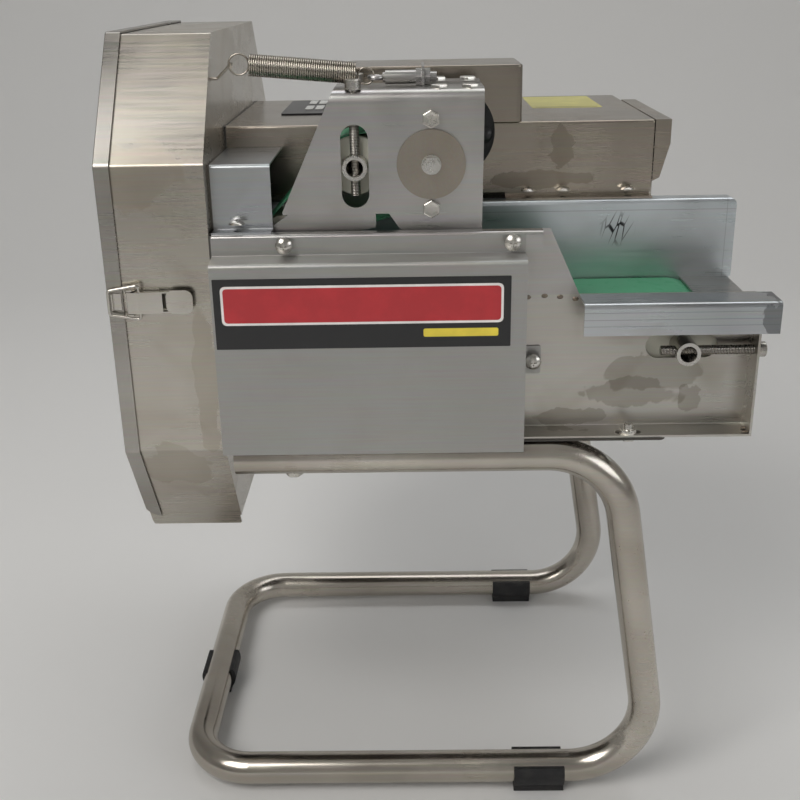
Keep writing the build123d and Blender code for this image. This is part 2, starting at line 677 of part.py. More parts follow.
lid_back_y = rotor_y + half_w + lid_out
with BuildPart() as hinge_moving:
    block((lid_x + 1.5, hinge_x - 3.0), (lid_back_y, lid_back_y + leaf_t),
          (hinge_bottom_z, hinge_bottom_z + knuckles * knuckle_len))
    for index in range(1, knuckles, 2):
        knuckle_z = hinge_bottom_z + index * knuckle_len + 0.2
        round_bar(Plane.XY.offset(knuckle_z), (hinge_x, hinge_y), hinge_r, knuckle_len - 0.4)
        block((hinge_x - 3.5, hinge_x), (lid_back_y, lid_back_y + leaf_t),
              (knuckle_z, knuckle_z + knuckle_len - 0.4))
    round_bar(Plane.XY.offset(hinge_bottom_z - 1.5), (hinge_x, hinge_y), pin_r, knuckles * knuckle_len + 3.0)
save(hinge_moving, "hinge_moving")

# Toggle latch: base on the housing, lever, wire bail, and the catch on the lid
latch_z = 496.0
housing_front_y = rotor_y - half_w
latch_pivot_x = wall_x - housing_w + 18.0
latch_pivot_y = housing_front_y - 5.5
bail_x = latch_pivot_x + 8.0
bail_y = housing_front_y - 7.0
bail_wire_r = 1.3
ear_half = 11.0
lever_half = 9.0
catch_x = lid_x + 4.0
lid_front_y = housing_front_y - lid_out
with BuildPart() as latch_base:
    block((latch_pivot_x - 4.5, latch_pivot_x + 24.0), (housing_front_y - 1.2, housing_front_y),
          (latch_z - ear_half, latch_z + ear_half))
    for ear_z in (latch_z - ear_half, latch_z + ear_half - 1.2):
        with BuildSketch(Plane.XY.offset(ear_z)) as ear:
            with BuildLine():
                CenterArc((latch_pivot_x, latch_pivot_y), 3.6, 0, 360)
                Line((latch_pivot_x - 4.5, housing_front_y - 0.6),
                     (latch_pivot_x + 6.0, housing_front_y - 0.6))
            make_hull()
        extrude(ear.sketch, amount=1.2)
    round_bar(Plane.XY.offset(latch_z - ear_half - 0.4), (latch_pivot_x, latch_pivot_y), 1.5,
              2 * ear_half + 0.8)
save(latch_base, "latch_base")

lever_t = 1.2
lever_tip_x = latch_pivot_x + 34.0
with BuildPart() as latch_lever:
    with BuildSketch(Plane.XY.offset(latch_z - lever_half)) as lever_side:
        with BuildLine():
            CenterArc((latch_pivot_x, latch_pivot_y), 3.2, 0, 360)
            CenterArc((bail_x, bail_y), 3.0, 0, 360)
            CenterArc((lever_tip_x, housing_front_y - 5.0), 2.0, 0, 360)
        make_hull()
    extrude(lever_side.sketch, amount=2 * lever_half)
    with BuildSketch(Plane.XY.offset(latch_z - lever_half + lever_t)) as lever_hollow:
        with Locations(((latch_pivot_x + lever_tip_x) / 2, housing_front_y - 3.0)):
            Rectangle(50.0, 9.6)
    extrude(lever_hollow.sketch, amount=2 * lever_half - 2 * lever_t, mode=Mode.SUBTRACT)
    with BuildSketch(side_plane(housing_front_y - 5.8)) as lever_tab:
        with Locations((lever_tip_x + 7.0, latch_z)):
            RectangleRounded(22.0, 20.0, 6.0)
    extrude(lever_tab.sketch, amount=lever_t)
    round_bar(Plane.XY.offset(latch_z - lever_half - 1.0), (latch_pivot_x, latch_pivot_y), 1.5 + spin_gap,
              2 * lever_half + 2.0, mode=Mode.SUBTRACT)
    round_bar(Plane.XY.offset(latch_z - lever_half - 1.0), (bail_x, bail_y), bail_wire_r + spin_gap,
              2 * lever_half + 2.0, mode=Mode.SUBTRACT)
save(latch_lever, "latch_lever")

bail_left_x = catch_x - bail_wire_r - wrap_gap
bail_narrow = 10.3
bail_wide = 14.6
with BuildPart() as latch_bail:
    with BuildLine() as bail_path:
        FilletPolyline(
            (bail_x, bail_y, latch_z + lever_half - 3.0),
            (bail_x, bail_y, latch_z + bail_wide),
            (bail_left_x, bail_y, latch_z + bail_narrow),
            (bail_left_x, bail_y, latch_z - bail_narrow),
            (bail_x, bail_y, latch_z - bail_wide),
            (bail_x, bail_y, latch_z - lever_half + 3.0),
            radius=2.4,
        )
    with BuildSketch(Plane(origin=bail_path.line @ 0, z_dir=bail_path.line % 0)):
        Circle(bail_wire_r)
    sweep()
save(latch_bail, "latch_bail")

with BuildPart() as lid_catch:
    bent_sheet(Plane.XY.offset(latch_z - 7.0),
               [(lid_x + lid_lip - 1.0, lid_front_y), (catch_x, lid_front_y),
                (catch_x, bail_y + bail_wire_r + wrap_gap)],
               1.2, 14.0, Side.LEFT, bend=1.5)
save(lid_catch, "lid_catch")

# Hook wire on the housing that carries the spring
ring_y = front_y + 42.0
left_ring = (wall_x + 26.0, ring_y, 679.8)
left_ring_r = 9.2
hook_wire_r = 1.25
with BuildPart() as spring_hook:
    with BuildLine() as hook_path:
        FilletPolyline(
            (wall_x - 4.0, hook_y, hook_z),
            (wall_x + 6.0, hook_y, hook_z),
            (left_ring[0] - left_ring_r + 3.2, ring_y + 3.0, left_ring[2] + 1.0),
            (left_ring[0] - left_ring_r + 3.4, ring_y - 5.0, left_ring[2] - 1.5),
            radius=2.5,
        )
    with BuildSketch(Plane(origin=hook_path.line @ 0, z_dir=hook_path.line % 0)):
        Circle(hook_wire_r)
    sweep()
save(spring_hook, "spring_hook")

# Mouth hood: guides the food from the channel into the mouth, open towards the press belt
hood_right_x = wall_x + hood_w
with BuildPart() as mouth_hood:
    bent_sheet(cross_plane(wall_x + plate_t),
               [(hood_front_y - 14.0, channel_z), (hood_front_y + shell_t, channel_z),
                (hood_front_y + shell_t, hood_top_z - shell_t), (box_front_y - 0.1, hood_top_z - shell_t)],
               shell_t, hood_w - plate_t, Side.LEFT, bend=2.0)
    round_bar(Plane.XY.offset(channel_z - 1.0), (hood_screw_x, front_y - 3.0), screw_hole_r, 5.0,
              mode=Mode.SUBTRACT)
save(mouth_hood, "mouth_hood")

# Drive box: hat-shaped cover over the casing, flanged onto the channel's back wall
box_flange_y = back_y + 5.0
port_x = wall_x + 200.0
port_z = 615.0
port_r = 40.0
hood_back_y = front_y + 265.0
with BuildPart() as drive_box:
    block((wall_x + plate_t, box_right_x), (box_front_y, box_back_y), (guard_z, box_top_z))
    box_vertical = drive_box.edges().filter_by(Axis.Z).group_by(Axis.X)[-1]
    fillet(box_vertical, radius=2.5)
    fillet(drive_box.edges().filter_by(Axis.X).group_by(Axis.Z)[-1], radius=2.5)
    block((wall_x, box_right_x - shell_t), (box_front_y + shell_t, box_back_y - shell_t),
          (guard_z - 1.0, box_top_z - shell_t), mode=Mode.SUBTRACT)
    block((wall_x + 250.0, box_right_x - 2.0), (box_flange_y, box_front_y + 0.5),
          (guard_z, guard_z + shell_t))
    block((wall_x + 226.0, wall_x + 250.0), (box_front_y - 1.0, box_front_y + 3.0),
          (guard_z - 1.0, guard_z + 5.0), mode=Mode.SUBTRACT)
    with BuildSketch(side_plane(box_front_y + 5.0)) as port_cut:
        with Locations((port_x, port_z)):
            Circle(port_r)
    extrude(port_cut.sketch, amount=10.0, mode=Mode.SUBTRACT)
    block((port_x - port_r - 12.0, wall_x + 262.5), (box_front_y + shell_t, box_front_y + 70.0),
          (box_top_z - 5.0, box_top_z + 1.0), mode=Mode.SUBTRACT)
    for screw_x in box_screw_x:
        round_bar(Plane.XY.offset(guard_z - 1.0), (screw_x, box_screw_y), screw_hole_r, 5.0,
                  mode=Mode.SUBTRACT)
    flat_sheet(side_plane(hood_back_y),
               [(box_right_x, box_top_z), (box_right_x + 14.0, box_top_z), (box_right_x + 14.0, 602.0),
                (box_right_x + 6.0, 572.0), (box_right_x, 569.0)],
               hood_back_y - box_front_y - 0.5)
    flat_sheet(side_plane(hood_back_y - shell_t),
               [(box_right_x, box_top_z - shell_t), (box_right_x + 14.0 - shell_t, box_top_z - shell_t),
                (box_right_x + 14.0 - shell_t, 602.0), (box_right_x + 4.0, 560.0), (box_right_x, 560.0)],
               hood_back_y - box_front_y - 0.5 - 2 * shell_t, mode=Mode.SUBTRACT)
save(drive_box, "drive_box")

# Raised box above it, over the drive of the press belt
raised_left_x = wall_x + 108.0
raised_right_x = wall_x + 264.0
raised_top_z = 672.0
raised_back_y = front_y + 178.0
with BuildPart() as raised_box:
    block((raised_left_x, raised_right_x), (box_front_y, raised_back_y), (box_top_z, raised_top_z))
    fillet(raised_box.edges().filter_by(Axis.Z), radius=5.0)
    fillet(raised_box.faces().sort_by(Axis.Z)[-1].edges(), radius=2.0)
    block((raised_left_x + shell_t, raised_right_x - shell_t),
          (box_front_y + shell_t, raised_back_y - shell_t),
          (box_top_z - 1.0, raised_top_z - shell_t), mode=Mode.SUBTRACT)
    extrude(port_cut.sketch, amount=10.0, mode=Mode.SUBTRACT)
    round_bar(side_plane(box_front_y + shell_t + 2.0), (idler_x, idler_z), 7.0, 2.0)
    round_bar(side_plane(chain_y + chain_w + 4.0), (idler_x, idler_z), idler_pin_r,
              chain_y + chain_w + 4.0 - box_front_y - shell_t)
save(raised_box, "raised_box")

# Black cover behind the round port, with the shaft's clearance hole
with BuildPart() as port_cover:
    round_bar(side_plane(box_front_y + shell_t + 4.0), (port_x, port_z), port_r + 4.0, 4.0)
    block((port_x - 60.0, port_x + 60.0), (box_front_y, box_front_y + 10.0), (port_z - 60.0, guard_z + 6.0),
          mode=Mode.SUBTRACT)
    round_bar(side_plane(box_front_y + 10.0), (pivot_x, pivot_z), shaft_r + 2.0, 20.0, mode=Mode.SUBTRACT)
    with Locations(Plane(origin=(wall_x + 231.0, box_front_y + shell_t, 612.0), z_dir=(0, -1, 0))):
        add(truss_screw(3.0))
save(port_cover, "port_cover")

# Control panel on the box top, with its keys
panel_x = (wall_x + 42.0, wall_x + 106.0)
panel_y = (front_y + 178.5, front_y + 294.0)
with BuildPart() as control_panel:
    with BuildSketch(Plane.XY.offset(box_top_z)) as panel_outline:
        with Locations(((panel_x[0] + panel_x[1]) / 2, (panel_y[0] + panel_y[1]) / 2)):
            RectangleRounded(panel_x[1] - panel_x[0], panel_y[1] - panel_y[0], 3.0)
    extrude(panel_outline.sketch, amount=1.2)
    with BuildSketch(Plane.XY.offset(box_top_z + 1.2)) as key_outline:
        with Locations((wall_x + 81.0, front_y + 247.0)):
            with GridLocations(10.0, 48.0, 4, 2):
                RectangleRounded(7.6, 30.0, 1.5)
    extrude(key_outline.sketch, amount=0.8)
save(control_panel, "control_panel")


# Truss-head screws of the covers
dome_places = [
    Plane(origin=(wall_x + 62.0, cover_back_y - shell_t, lip_hole_z), z_dir=(0, -1, 0)),
    Plane(origin=(wall_x + 247.0, cover_back_y - shell_t, lip_hole_z), z_dir=(0, -1, 0)),
    Plane(origin=(tab_x, front_y - 0.05 - shell_t, tab_z), z_dir=(0, -1, 0)),
    Plane(origin=(hood_screw_x, front_y - 3.0, channel_z + shell_t), z_dir=(0, 0, 1)),
] + [
    Plane(origin=(screw_x, box_screw_y, guard_z + shell_t), z_dir=(0, 0, 1))
    for screw_x in box_screw_x
]
with BuildPart() as cover_screws:
    for place in dome_places:
        with Locations(place):
            add(truss_screw(5.0))
save(cover_screws, "cover_screws")

# Knife motor bolted to the bulkhead: flange, finned body and fan cowl round a bored core
motor_r = 62.0
motor_len = 170.0
motor_x = wall_x + plate_t
bearing_gap = 0.05
with BuildPart() as knife_motor:
    round_bar(cross_plane(motor_x), (rotor_y, rotor_z), 80.0, 10.0)
    round_bar(cross_plane(motor_x + 10.0), (rotor_y, rotor_z), motor_r, motor_len - 10.0)
    with BuildSketch(cross_plane(motor_x + 16.0)) as fins:
        with Locations((rotor_y, rotor_z)):
            with PolarLocations(motor_r + 1.5, 20):
                Rectangle(7.0, 2.5)
    extrude(fins.sketch, amount=motor_len - 60.0)
    round_bar(cross_plane(motor_x + motor_len - 40.0), (rotor_y, rotor_z), motor_r + 5.0, 60.0)
    fillet(knife_motor.faces().sort_by(Axis.X)[-1].edges(), radius=8.0)
    block((motor_x + 30.0, motor_x + 90.0), (rotor_y - 30.0, rotor_y + 30.0),
          (rotor_z + 50.0, rotor_z + 82.0))
    round_bar(cross_plane(motor_x - 1.0), (rotor_y, rotor_z), shaft_r + bearing_gap, motor_len - 20.0,
              mode=Mode.SUBTRACT)
save(knife_motor, "knife_motor")

# Knife shaft with hub, knife carrier, blades and their bolts
shaft_left_x = wall_x - 60.0
with BuildPart() as knife_shaft:
    round_bar(cross_plane(shaft_left_x), (rotor_y, rotor_z), shaft_r - 2.5, 15.0)
    round_bar(cross_plane(shaft_left_x + 15.0), (rotor_y, rotor_z), shaft_r,
              motor_x + motor_len - 25.0 - shaft_left_x - 15.0)
    chamfer(knife_shaft.faces().sort_by(Axis.X)[0].edges(), length=1.0)
save(knife_shaft, "knife_shaft")

carrier_x = wall_x - 15.0
carrier_t = 8.0
hub_r = 28.0
arm_w = 46.0
blade_count = 3
with BuildPart() as knife_carrier:
    round_bar(cross_plane(shaft_left_x + 15.0), (rotor_y, rotor_z), hub_r, carrier_x - shaft_left_x - 15.0,
              bore=shaft_r)
    with BuildSketch(cross_plane(carrier_x)) as carrier_outline:
        with Locations((rotor_y, rotor_z)):
            Circle(48.0)
            for arm in range(blade_count):
                with Locations(Rotation(0, 0, 360 / blade_count * arm + 20)):
                    with Locations((88.0, 0)):
                        RectangleRounded(176.0, arm_w, 10.0)
            Circle(shaft_r, mode=Mode.SUBTRACT)
    extrude(carrier_outline.sketch, amount=carrier_t)
save(knife_carrier, "knife_carrier")

blade_x = carrier_x + carrier_t
blade_t = 3.5
with BuildSketch() as blade:
    with BuildLine():
        Line((52.0, -20.0), (60.0, 20.0))
        RadiusArc((60.0, 20.0), (rotor_r - 22.0, 30.0), 260.0)
        RadiusArc((rotor_r - 22.0, 30.0), (rotor_r - 4.0, -14.0), 60.0)
        Line((rotor_r - 4.0, -14.0), (52.0, -20.0))
    make_face()
with BuildPart() as knife_blades:
    with BuildSketch(cross_plane(blade_x)) as blade_outline:
        with Locations((rotor_y, rotor_z)):
            with PolarLocations(0, blade_count, start_angle=20.0):
                add(blade.sketch)
    extrude(blade_outline.sketch, amount=blade_t)
save(knife_blades, "knife_blades")

with BuildPart() as hub_nut:
    round_bar(cross_plane(shaft_left_x + 13.0), (rotor_y, rotor_z), 18.0, 2.0, bore=shaft_r - 2.5)
    hex_prism(cross_plane(shaft_left_x + 1.0), (rotor_y, rotor_z), 30.0, 12.0, bore=shaft_r - 2.5)
save(hub_nut, "hub_nut")

# Feed drive: drive roller, shaft with chain wheel
roller_y = front_y + plate_t + 2.5
roller_w = channel_w - 5.0
feed_wheel_r = 28.0
with BuildPart() as feed_drive_roller:
    round_bar(side_plane(roller_y + roller_w), (feed_drive_x, feed_z), feed_r, roller_w, bore=shaft_r)
    chamfer(feed_drive_roller.edges().filter_by(GeomType.CIRCLE).sort_by(SortBy.RADIUS)[-2:], length=1.0)
save(feed_drive_roller, "feed_drive_roller")


def chain_wheel(x, z, radius, teeth, bore):
    """Chain wheel in the chain's plane, teeth as round-tipped bumps, in the open part."""
    with BuildSketch(side_plane(chain_y + chain_w)) as wheel:
        with Locations((x, z)):
            Circle(radius - 4.5)
            with PolarLocations(radius - 4.5, teeth):
                Circle(1.7)
            if bore:
                Circle(bore, mode=Mode.SUBTRACT)
    extrude(wheel.sketch, amount=chain_w)


with BuildPart() as feed_drive_shaft:
    round_bar(side_plane(chain_y + chain_w + 6.0), (feed_drive_x, feed_z), shaft_r,
              chain_y + chain_w + 6.0 - front_y + 12.0)
    chain_wheel(feed_drive_x, feed_z, feed_wheel_r, 17, 0)
    chamfer(feed_drive_shaft.faces().sort_by(Axis.Y)[0].edges(), length=1.0)
save(feed_drive_shaft, "feed_drive_shaft")

# Feed tension roller on its hollow axle, with the two adjusting screws
with BuildPart() as feed_axle:
    axle_len = channel_w + 2 * plate_t + 2 * axle_out
    round_bar(side_plane(back_y + plate_t + axle_out), (feed_tension_x, feed_z), axle_r, axle_len,
              bore=axle_bore_r)
    for screw_y in (rod_y, back_rod_y):
        round_bar(cross_plane(feed_tension_x - 20.0), (screw_y, feed_z), bolt_r + bolt_gap, 40.0,
                  mode=Mode.SUBTRACT)
save(feed_axle, "feed_axle")

with BuildPart() as feed_tension_roller:
    round_bar(side_plane(roller_y + roller_w), (feed_tension_x, feed_z), feed_r, roller_w,
              bore=axle_r + spin_gap)
    chamfer(feed_tension_roller.edges().filter_by(GeomType.CIRCLE).sort_by(SortBy.RADIUS)[-2:], length=1.0)
save(feed_tension_roller, "feed_tension_roller")

screw_head_r = 6.5
screw_head_h = 8.0
feed_screw_end = wall_x + 373.0
for screw_name, screw_y in (("feed_screw_front", rod_y), ("feed_screw_back", back_rod_y)):
    with BuildPart() as feed_screw:
        round_bar(cross_plane(feed_screw_end), (screw_y, feed_z), bolt_r, frame_right_x - feed_screw_end)
        round_bar(cross_plane(frame_right_x), (screw_y, feed_z), screw_head_r, screw_head_h)
        chamfer(feed_screw.faces().sort_by(Axis.X)[-1].edges(), length=0.6)
        hex_prism(cross_plane(frame_right_x + screw_head_h - 4.0), (screw_y, feed_z), 6.0, 5.0,
                  mode=Mode.SUBTRACT)
    save(feed_screw, screw_name)

# Press frame: one sheet folded over the top, slotted for the tension axle
press_back_y = press_y + press_w
press_outline = [
    (wall_x + 104.0, press_top_z), (wall_x + 59.0, 564.0), (wall_x + 59.5, 562.0),
    (wall_x + 147.0, 562.0), (wall_x + 159.5, 543.5), (wall_x + 223.5, 543.5), (wall_x + 225.0, press_top_z),
]
press_slot_half = 11.2
press_slot_top = 623.0
press_slot_bottom = 578.5
rod_x = tension_x
press_rod_front_y = press_y + plate_t + 5.0
press_rod_back_y = press_back_y - plate_t - 5.0
with BuildPart() as press_frame:
    flat_sheet(side_plane(press_back_y), press_outline, press_w)
    fillet(press_frame.edges().filter_by(Axis.X).group_by(Axis.Z)[-1], radius=press_bend_r)
    with BuildSketch(cross_plane(wall_x)) as press_hollow:
        with Locations(((press_y + press_back_y) / 2, press_top_z - plate_t - 100.0)):
            RectangleRounded(press_w - 2 * plate_t, 200.0, press_bend_r - plate_t)
    extrude(press_hollow.sketch, amount=300.0, mode=Mode.SUBTRACT)
    with BuildSketch(side_plane(press_back_y + 5.0)) as press_holes:
        with Locations((tension_x, (press_slot_top + press_slot_bottom) / 2)):
            SlotCenterToCenter(press_slot_top - press_slot_bottom, 2 * press_slot_half, rotation=90)
        with Locations((pivot_x, pivot_z)):
            Circle(shaft_r + 2.0)
            with Locations((0, oval_bolt_r), (0, -oval_bolt_r)):
                Circle(bolt_r + bolt_gap)
    extrude(press_holes.sketch, amount=press_w + 10.0, mode=Mode.SUBTRACT)
    for screw_y in (press_rod_front_y, press_rod_back_y):
        round_bar(Plane.XY.offset(press_top_z - 12.0), (rod_x, screw_y), bolt_r + bolt_gap, 20.0,
                  mode=Mode.SUBTRACT)
    top_bolt_x = (wall_x + 189.0, wall_x + 214.0)
    top_bolt_y = (front_y + 22.0, front_y + 66.0)
    for bolt_x in top_bolt_x:
        for bolt_y in top_bolt_y:
            round_bar(Plane.XY.offset(press_top_z - 5.0), (bolt_x, bolt_y), bolt_r + bolt_gap, 10.0,
                      mode=Mode.SUBTRACT)
save(press_frame, "press_frame")

# Arms inside the side plates that carry the nose roller
nose_pin_r = 6.0
arm_top_z = 566.0
with BuildPart() as nose_arms:
    for arm_y in (press_y + plate_t + 2.0, press_back_y - plate_t):
        with BuildSketch(side_plane(arm_y)) as arm_outline:
            with BuildLine():
                CenterArc((nose_x, nose_z), 11.0, 0, 360)
                Line((wall_x + 136.0, 550.5), (wall_x + 136.0, arm_top_z))
                Line((wall_x + 136.0, arm_top_z), (wall_x + 70.0, arm_top_z))
            make_hull()
            with Locations((nose_x, nose_z)):
                Circle(nose_pin_r, mode=Mode.SUBTRACT)
        extrude(arm_outline.sketch, amount=2.0)
    round_bar(side_plane(press_back_y - plate_t), (nose_x, nose_z), nose_pin_r, press_w - 2 * plate_t)
save(nose_arms, "nose_arms")

# Bearing covers of the press drive shaft, front and back, bolted to the frame
with BuildPart() as press_bearings:
    for face_y, outward in ((press_y, -1), (press_back_y, 1)):
        with BuildSketch(face_plane(pivot_x, face_y, pivot_z, outward)) as oval:
            oval_outline()
            Circle(bolt_r + 3.0 if outward < 0 else shaft_r + spin_gap, mode=Mode.SUBTRACT)
            with Locations((0, oval_bolt_r), (0, -oval_bolt_r)):
                Circle(bolt_r + bolt_gap, mode=Mode.SUBTRACT)
        extrude(oval.sketch, amount=oval_t)
        with BuildSketch(face_plane(pivot_x, face_y, pivot_z, -outward)) as ring:
            Circle(shaft_r + 1.9)
            Circle(shaft_r + spin_gap, mode=Mode.SUBTRACT)
        extrude(ring.sketch, amount=plate_t)
save(press_bearings, "press_bearings")


# Press drive roller with its shaft, end bolt and chain wheel
press_wheel_r = 24.0
with BuildPart() as press_drive_roller:
    round_bar(side_plane(press_roller_y + press_roller_w), (pivot_x, pivot_z), press_drive_r, press_roller_w)
    chamfer(press_drive_roller.edges().filter_by(GeomType.CIRCLE), length=0.8)
    round_bar(side_plane(press_roller_y + press_roller_w), (pivot_x, pivot_z), shaft_r, press_roller_w,
              mode=Mode.SUBTRACT)
save(press_drive_roller, "press_drive_roller")

with BuildPart() as press_drive_shaft:
    round_bar(side_plane(chain_y + chain_w + 6.0), (pivot_x, pivot_z), shaft_r,
              chain_y + chain_w + 6.0 - press_y)
    round_bar(side_plane(press_y + 1.0), (pivot_x, pivot_z), bolt_r, 8.0)
    round_bar(side_plane(press_y - oval_t - 0.2), (pivot_x, pivot_z), 8.0, 1.6)
    hex_prism(side_plane(press_y - oval_t - 1.8), (pivot_x, pivot_z), nut_flats, head_h)
    round_bar(side_plane(press_y - oval_t - 1.8 - head_h), (pivot_x, pivot_z), bolt_r, 3.0)
    chain_wheel(pivot_x, pivot_z, press_wheel_r, 15, 0)
save(press_drive_shaft, "press_drive_shaft")

with BuildPart() as nose_roller:
    round_bar(side_plane(press_roller_y + press_roller_w), (nose_x, nose_z), nose_r, press_roller_w,
              bore=nose_pin_r + spin_gap)
save(nose_roller, "nose_roller")

with BuildPart() as press_axle:
    round_bar(side_plane(press_back_y + 5.0), (tension_x, tension_z), axle_r, press_w + 10.0,
              bore=axle_bore_r)
    for screw_y in (press_rod_front_y, press_rod_back_y):
        round_bar(Plane.XY.offset(tension_z - 20.0), (rod_x, screw_y), bolt_r + bolt_gap, 40.0,
                  mode=Mode.SUBTRACT)
save(press_axle, "press_axle")

with BuildPart() as press_tension_roller:
    round_bar(side_plane(press_roller_y + press_roller_w), (tension_x, tension_z), tension_r, press_roller_w,
              bore=axle_r + spin_gap)
    chamfer(press_tension_roller.edges().filter_by(GeomType.CIRCLE).sort_by(SortBy.RADIUS)[-2:], length=0.8)
save(press_tension_roller, "press_tension_roller")

press_screw_end = 576.5
for screw_name, screw_y in (("press_screw_front", press_rod_front_y), ("press_screw_back", press_rod_back_y)):
    with BuildPart() as press_screw:
        round_bar(Plane.XY.offset(press_screw_end), (rod_x, screw_y), bolt_r, press_top_z - press_screw_end)
        round_bar(Plane.XY.offset(press_top_z), (rod_x, screw_y), screw_head_r, screw_head_h)
        chamfer(press_screw.faces().sort_by(Axis.Z)[-1].edges(), length=0.6)
        hex_prism(Plane.XY.offset(press_top_z + screw_head_h - 4.0), (rod_x, screw_y), 6.0, 5.0,
                  mode=Mode.SUBTRACT)
    save(press_screw, screw_name)

# Press belt round its three rollers
with BuildPart() as press_belt:
    press_wheels = (
        (pivot_x, pivot_z, press_drive_r, 1),
        (nose_x, nose_z, nose_r, 1),
        (tension_x, tension_z, tension_r, 1),
    )
    loop_slab(press_roller_y + 0.5, press_wheels, press_belt_t, press_roller_w - 1.0)
    loop_slab(press_roller_y + 0.5, press_wheels, wrap_gap, press_roller_w - 1.0, Mode.SUBTRACT)
save(press_belt, "press_belt")

# Spring bracket bolted on top, with the adjusting eye bolt
adjust_z = press_top_z + 6.8
with BuildPart() as spring_bracket:
    bent_sheet(side_plane(front_y + 76.0),
               [(wall_x + 175.4, adjust_z + 9.0), (wall_x + 175.4, press_top_z),
                (wall_x + 224.0, press_top_z)],
               2.0, 44.0, Side.LEFT, bend=2.2)
    for bolt_x in top_bolt_x:
        round_bar(Plane.XY.offset(press_top_z - 1.0), (bolt_x, top_bolt_y[1]), bolt_r + bolt_gap, 6.0,
                  mode=Mode.SUBTRACT)
    round_bar(cross_plane(wall_x + 170.0), (ring_y, adjust_z), bolt_r + bolt_gap, 12.0, mode=Mode.SUBTRACT)
    block((wall_x + 177.4, wall_x + 230.0), (front_y + 30.0, front_y + 53.0),
          (press_top_z - 1.0, press_top_z + 8.0), mode=Mode.SUBTRACT)
save(spring_bracket, "spring_bracket")


# Hex bolts of the press unit: four on top, two in each bearing cover
with BuildPart() as press_bolts:
    for bolt_x in top_bolt_x:
        for bolt_y, seat_z in ((top_bolt_y[0], press_top_z), (top_bolt_y[1], press_top_z + 2.0)):
            hex_prism(Plane.XY.offset(seat_z), (bolt_x, bolt_y), nut_flats, head_h)
            round_bar(Plane.XY.offset(press_top_z - 8.0), (bolt_x, bolt_y), bolt_r,
                      seat_z - press_top_z + 8.0)
    for face_y, outward in ((press_y - oval_t, -1), (press_back_y + oval_t, 1)):
        for along in (-oval_bolt_r, oval_bolt_r):
            head_plane = face_plane(pivot_x, face_y, pivot_z + along, outward)
            hex_prism(head_plane, (0, 0), nut_flats, head_h)
            round_bar(head_plane, (0, 0), bolt_r, -(oval_t + plate_t + 1.0))
save(press_bolts, "press_bolts")

# Eye bolt that sets the spring's pull
eye_x = wall_x + 138.0
eye_r = 5.4
eye_wire_r = 2.0
with BuildPart() as eye_bolt:
    with Locations((eye_x, ring_y, adjust_z)):
        Torus(eye_r, eye_wire_r)
    round_bar(cross_plane(eye_x + eye_r), (ring_y, adjust_z), bolt_r, wall_x + 187.5 - eye_x - eye_r)
    round_bar(cross_plane(wall_x + 145.5), (ring_y, adjust_z), 5.6, 25.0)
    hex_prism(cross_plane(wall_x + 170.5), (ring_y, adjust_z), nut_flats, 4.9)
    hex_prism(cross_plane(wall_x + 177.4), (ring_y, adjust_z), nut_flats, 4.9)
save(eye_bolt, "eye_bolt")

# Tension spring as its outer shape, with the two end rings
right_ring = (wall_x + 129.5, ring_y, adjust_z + 1.2)
right_ring_r = 7.5
coil_r = 9.1
coil_wire = 1.8
coil_start = Vector(wall_x + 33.5, ring_y, 679.4)
coil_end = Vector(wall_x + 122.4, ring_y, adjust_z + 3.4)
with BuildPart() as tension_spring:
    coil_plane = Plane(origin=coil_start, z_dir=coil_end - coil_start)
    with BuildSketch(coil_plane):
        Circle(coil_r)
        Circle(coil_r - coil_wire, mode=Mode.SUBTRACT)
    coil_length = (coil_end - coil_start).length
    extrude(amount=coil_length)
    for cap_at in (0.0, coil_length - coil_wire):
        with BuildSketch(coil_plane.offset(cap_at)):
            Circle(coil_r - coil_wire)
        extrude(amount=coil_wire)
    for ring, ring_r in ((left_ring, left_ring_r), (right_ring, right_ring_r)):
        with Locations(Location(ring, (90, 0, 0))):
            Torus(ring_r - coil_wire / 2, coil_wire / 2)
save(tension_spring, "tension_spring")

# Feed gear motor with its output wheel, the idler wheel and the drive chain
gear_front_y = chain_y + 16.0
with BuildPart() as feed_gearmotor:
    block((gear_x - 32.0, gear_x + 32.0), (gear_front_y, gear_front_y + 60.0), (frame_z, gear_z + 40.0))
    fillet(feed_gearmotor.edges().filter_by(Axis.Y), radius=6.0)
    round_bar(side_plane(gear_front_y + 60.0), (gear_x, gear_z), 34.0, -95.0)
    round_bar(side_plane(gear_front_y + 1.0), (gear_x, gear_z), shaft_r + 6.0, 5.0)
    round_bar(side_plane(gear_front_y + 30.0), (gear_x, gear_z), shaft_r + spin_gap, 40.0, mode=Mode.SUBTRACT)
save(feed_gearmotor, "feed_gearmotor")

with BuildPart() as gear_wheel:
    round_bar(side_plane(gear_front_y + 28.0), (gear_x, gear_z), shaft_r, gear_front_y + 28.0 - chain_y)
    chain_wheel(gear_x, gear_z, gear_wheel_r, 14, 0)
save(gear_wheel, "gear_wheel")

with BuildPart() as idler_wheel:
    chain_wheel(idler_x, idler_z, idler_wheel_r, 9, idler_pin_r + spin_gap)
save(idler_wheel, "idler_wheel")

chain_t = 5.0
chain_stops = (
    (feed_drive_x, feed_z, feed_wheel_r, 1),
    (pivot_x, pivot_z, press_wheel_r, -1),
    (idler_x, idler_z, idler_wheel_r, 1),
    (gear_x, gear_z, gear_wheel_r, 1),
)


with BuildPart() as drive_chain:
    loop_slab(chain_y, chain_stops, chain_t / 2, chain_w)
    loop_slab(chain_y, chain_stops, -chain_t / 2, chain_w, Mode.SUBTRACT)
save(drive_chain, "drive_chain")
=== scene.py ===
import json
from math import atan2, cos, pi, radians, sin

import bmesh
import bpy
from mathutils import Matrix, Vector

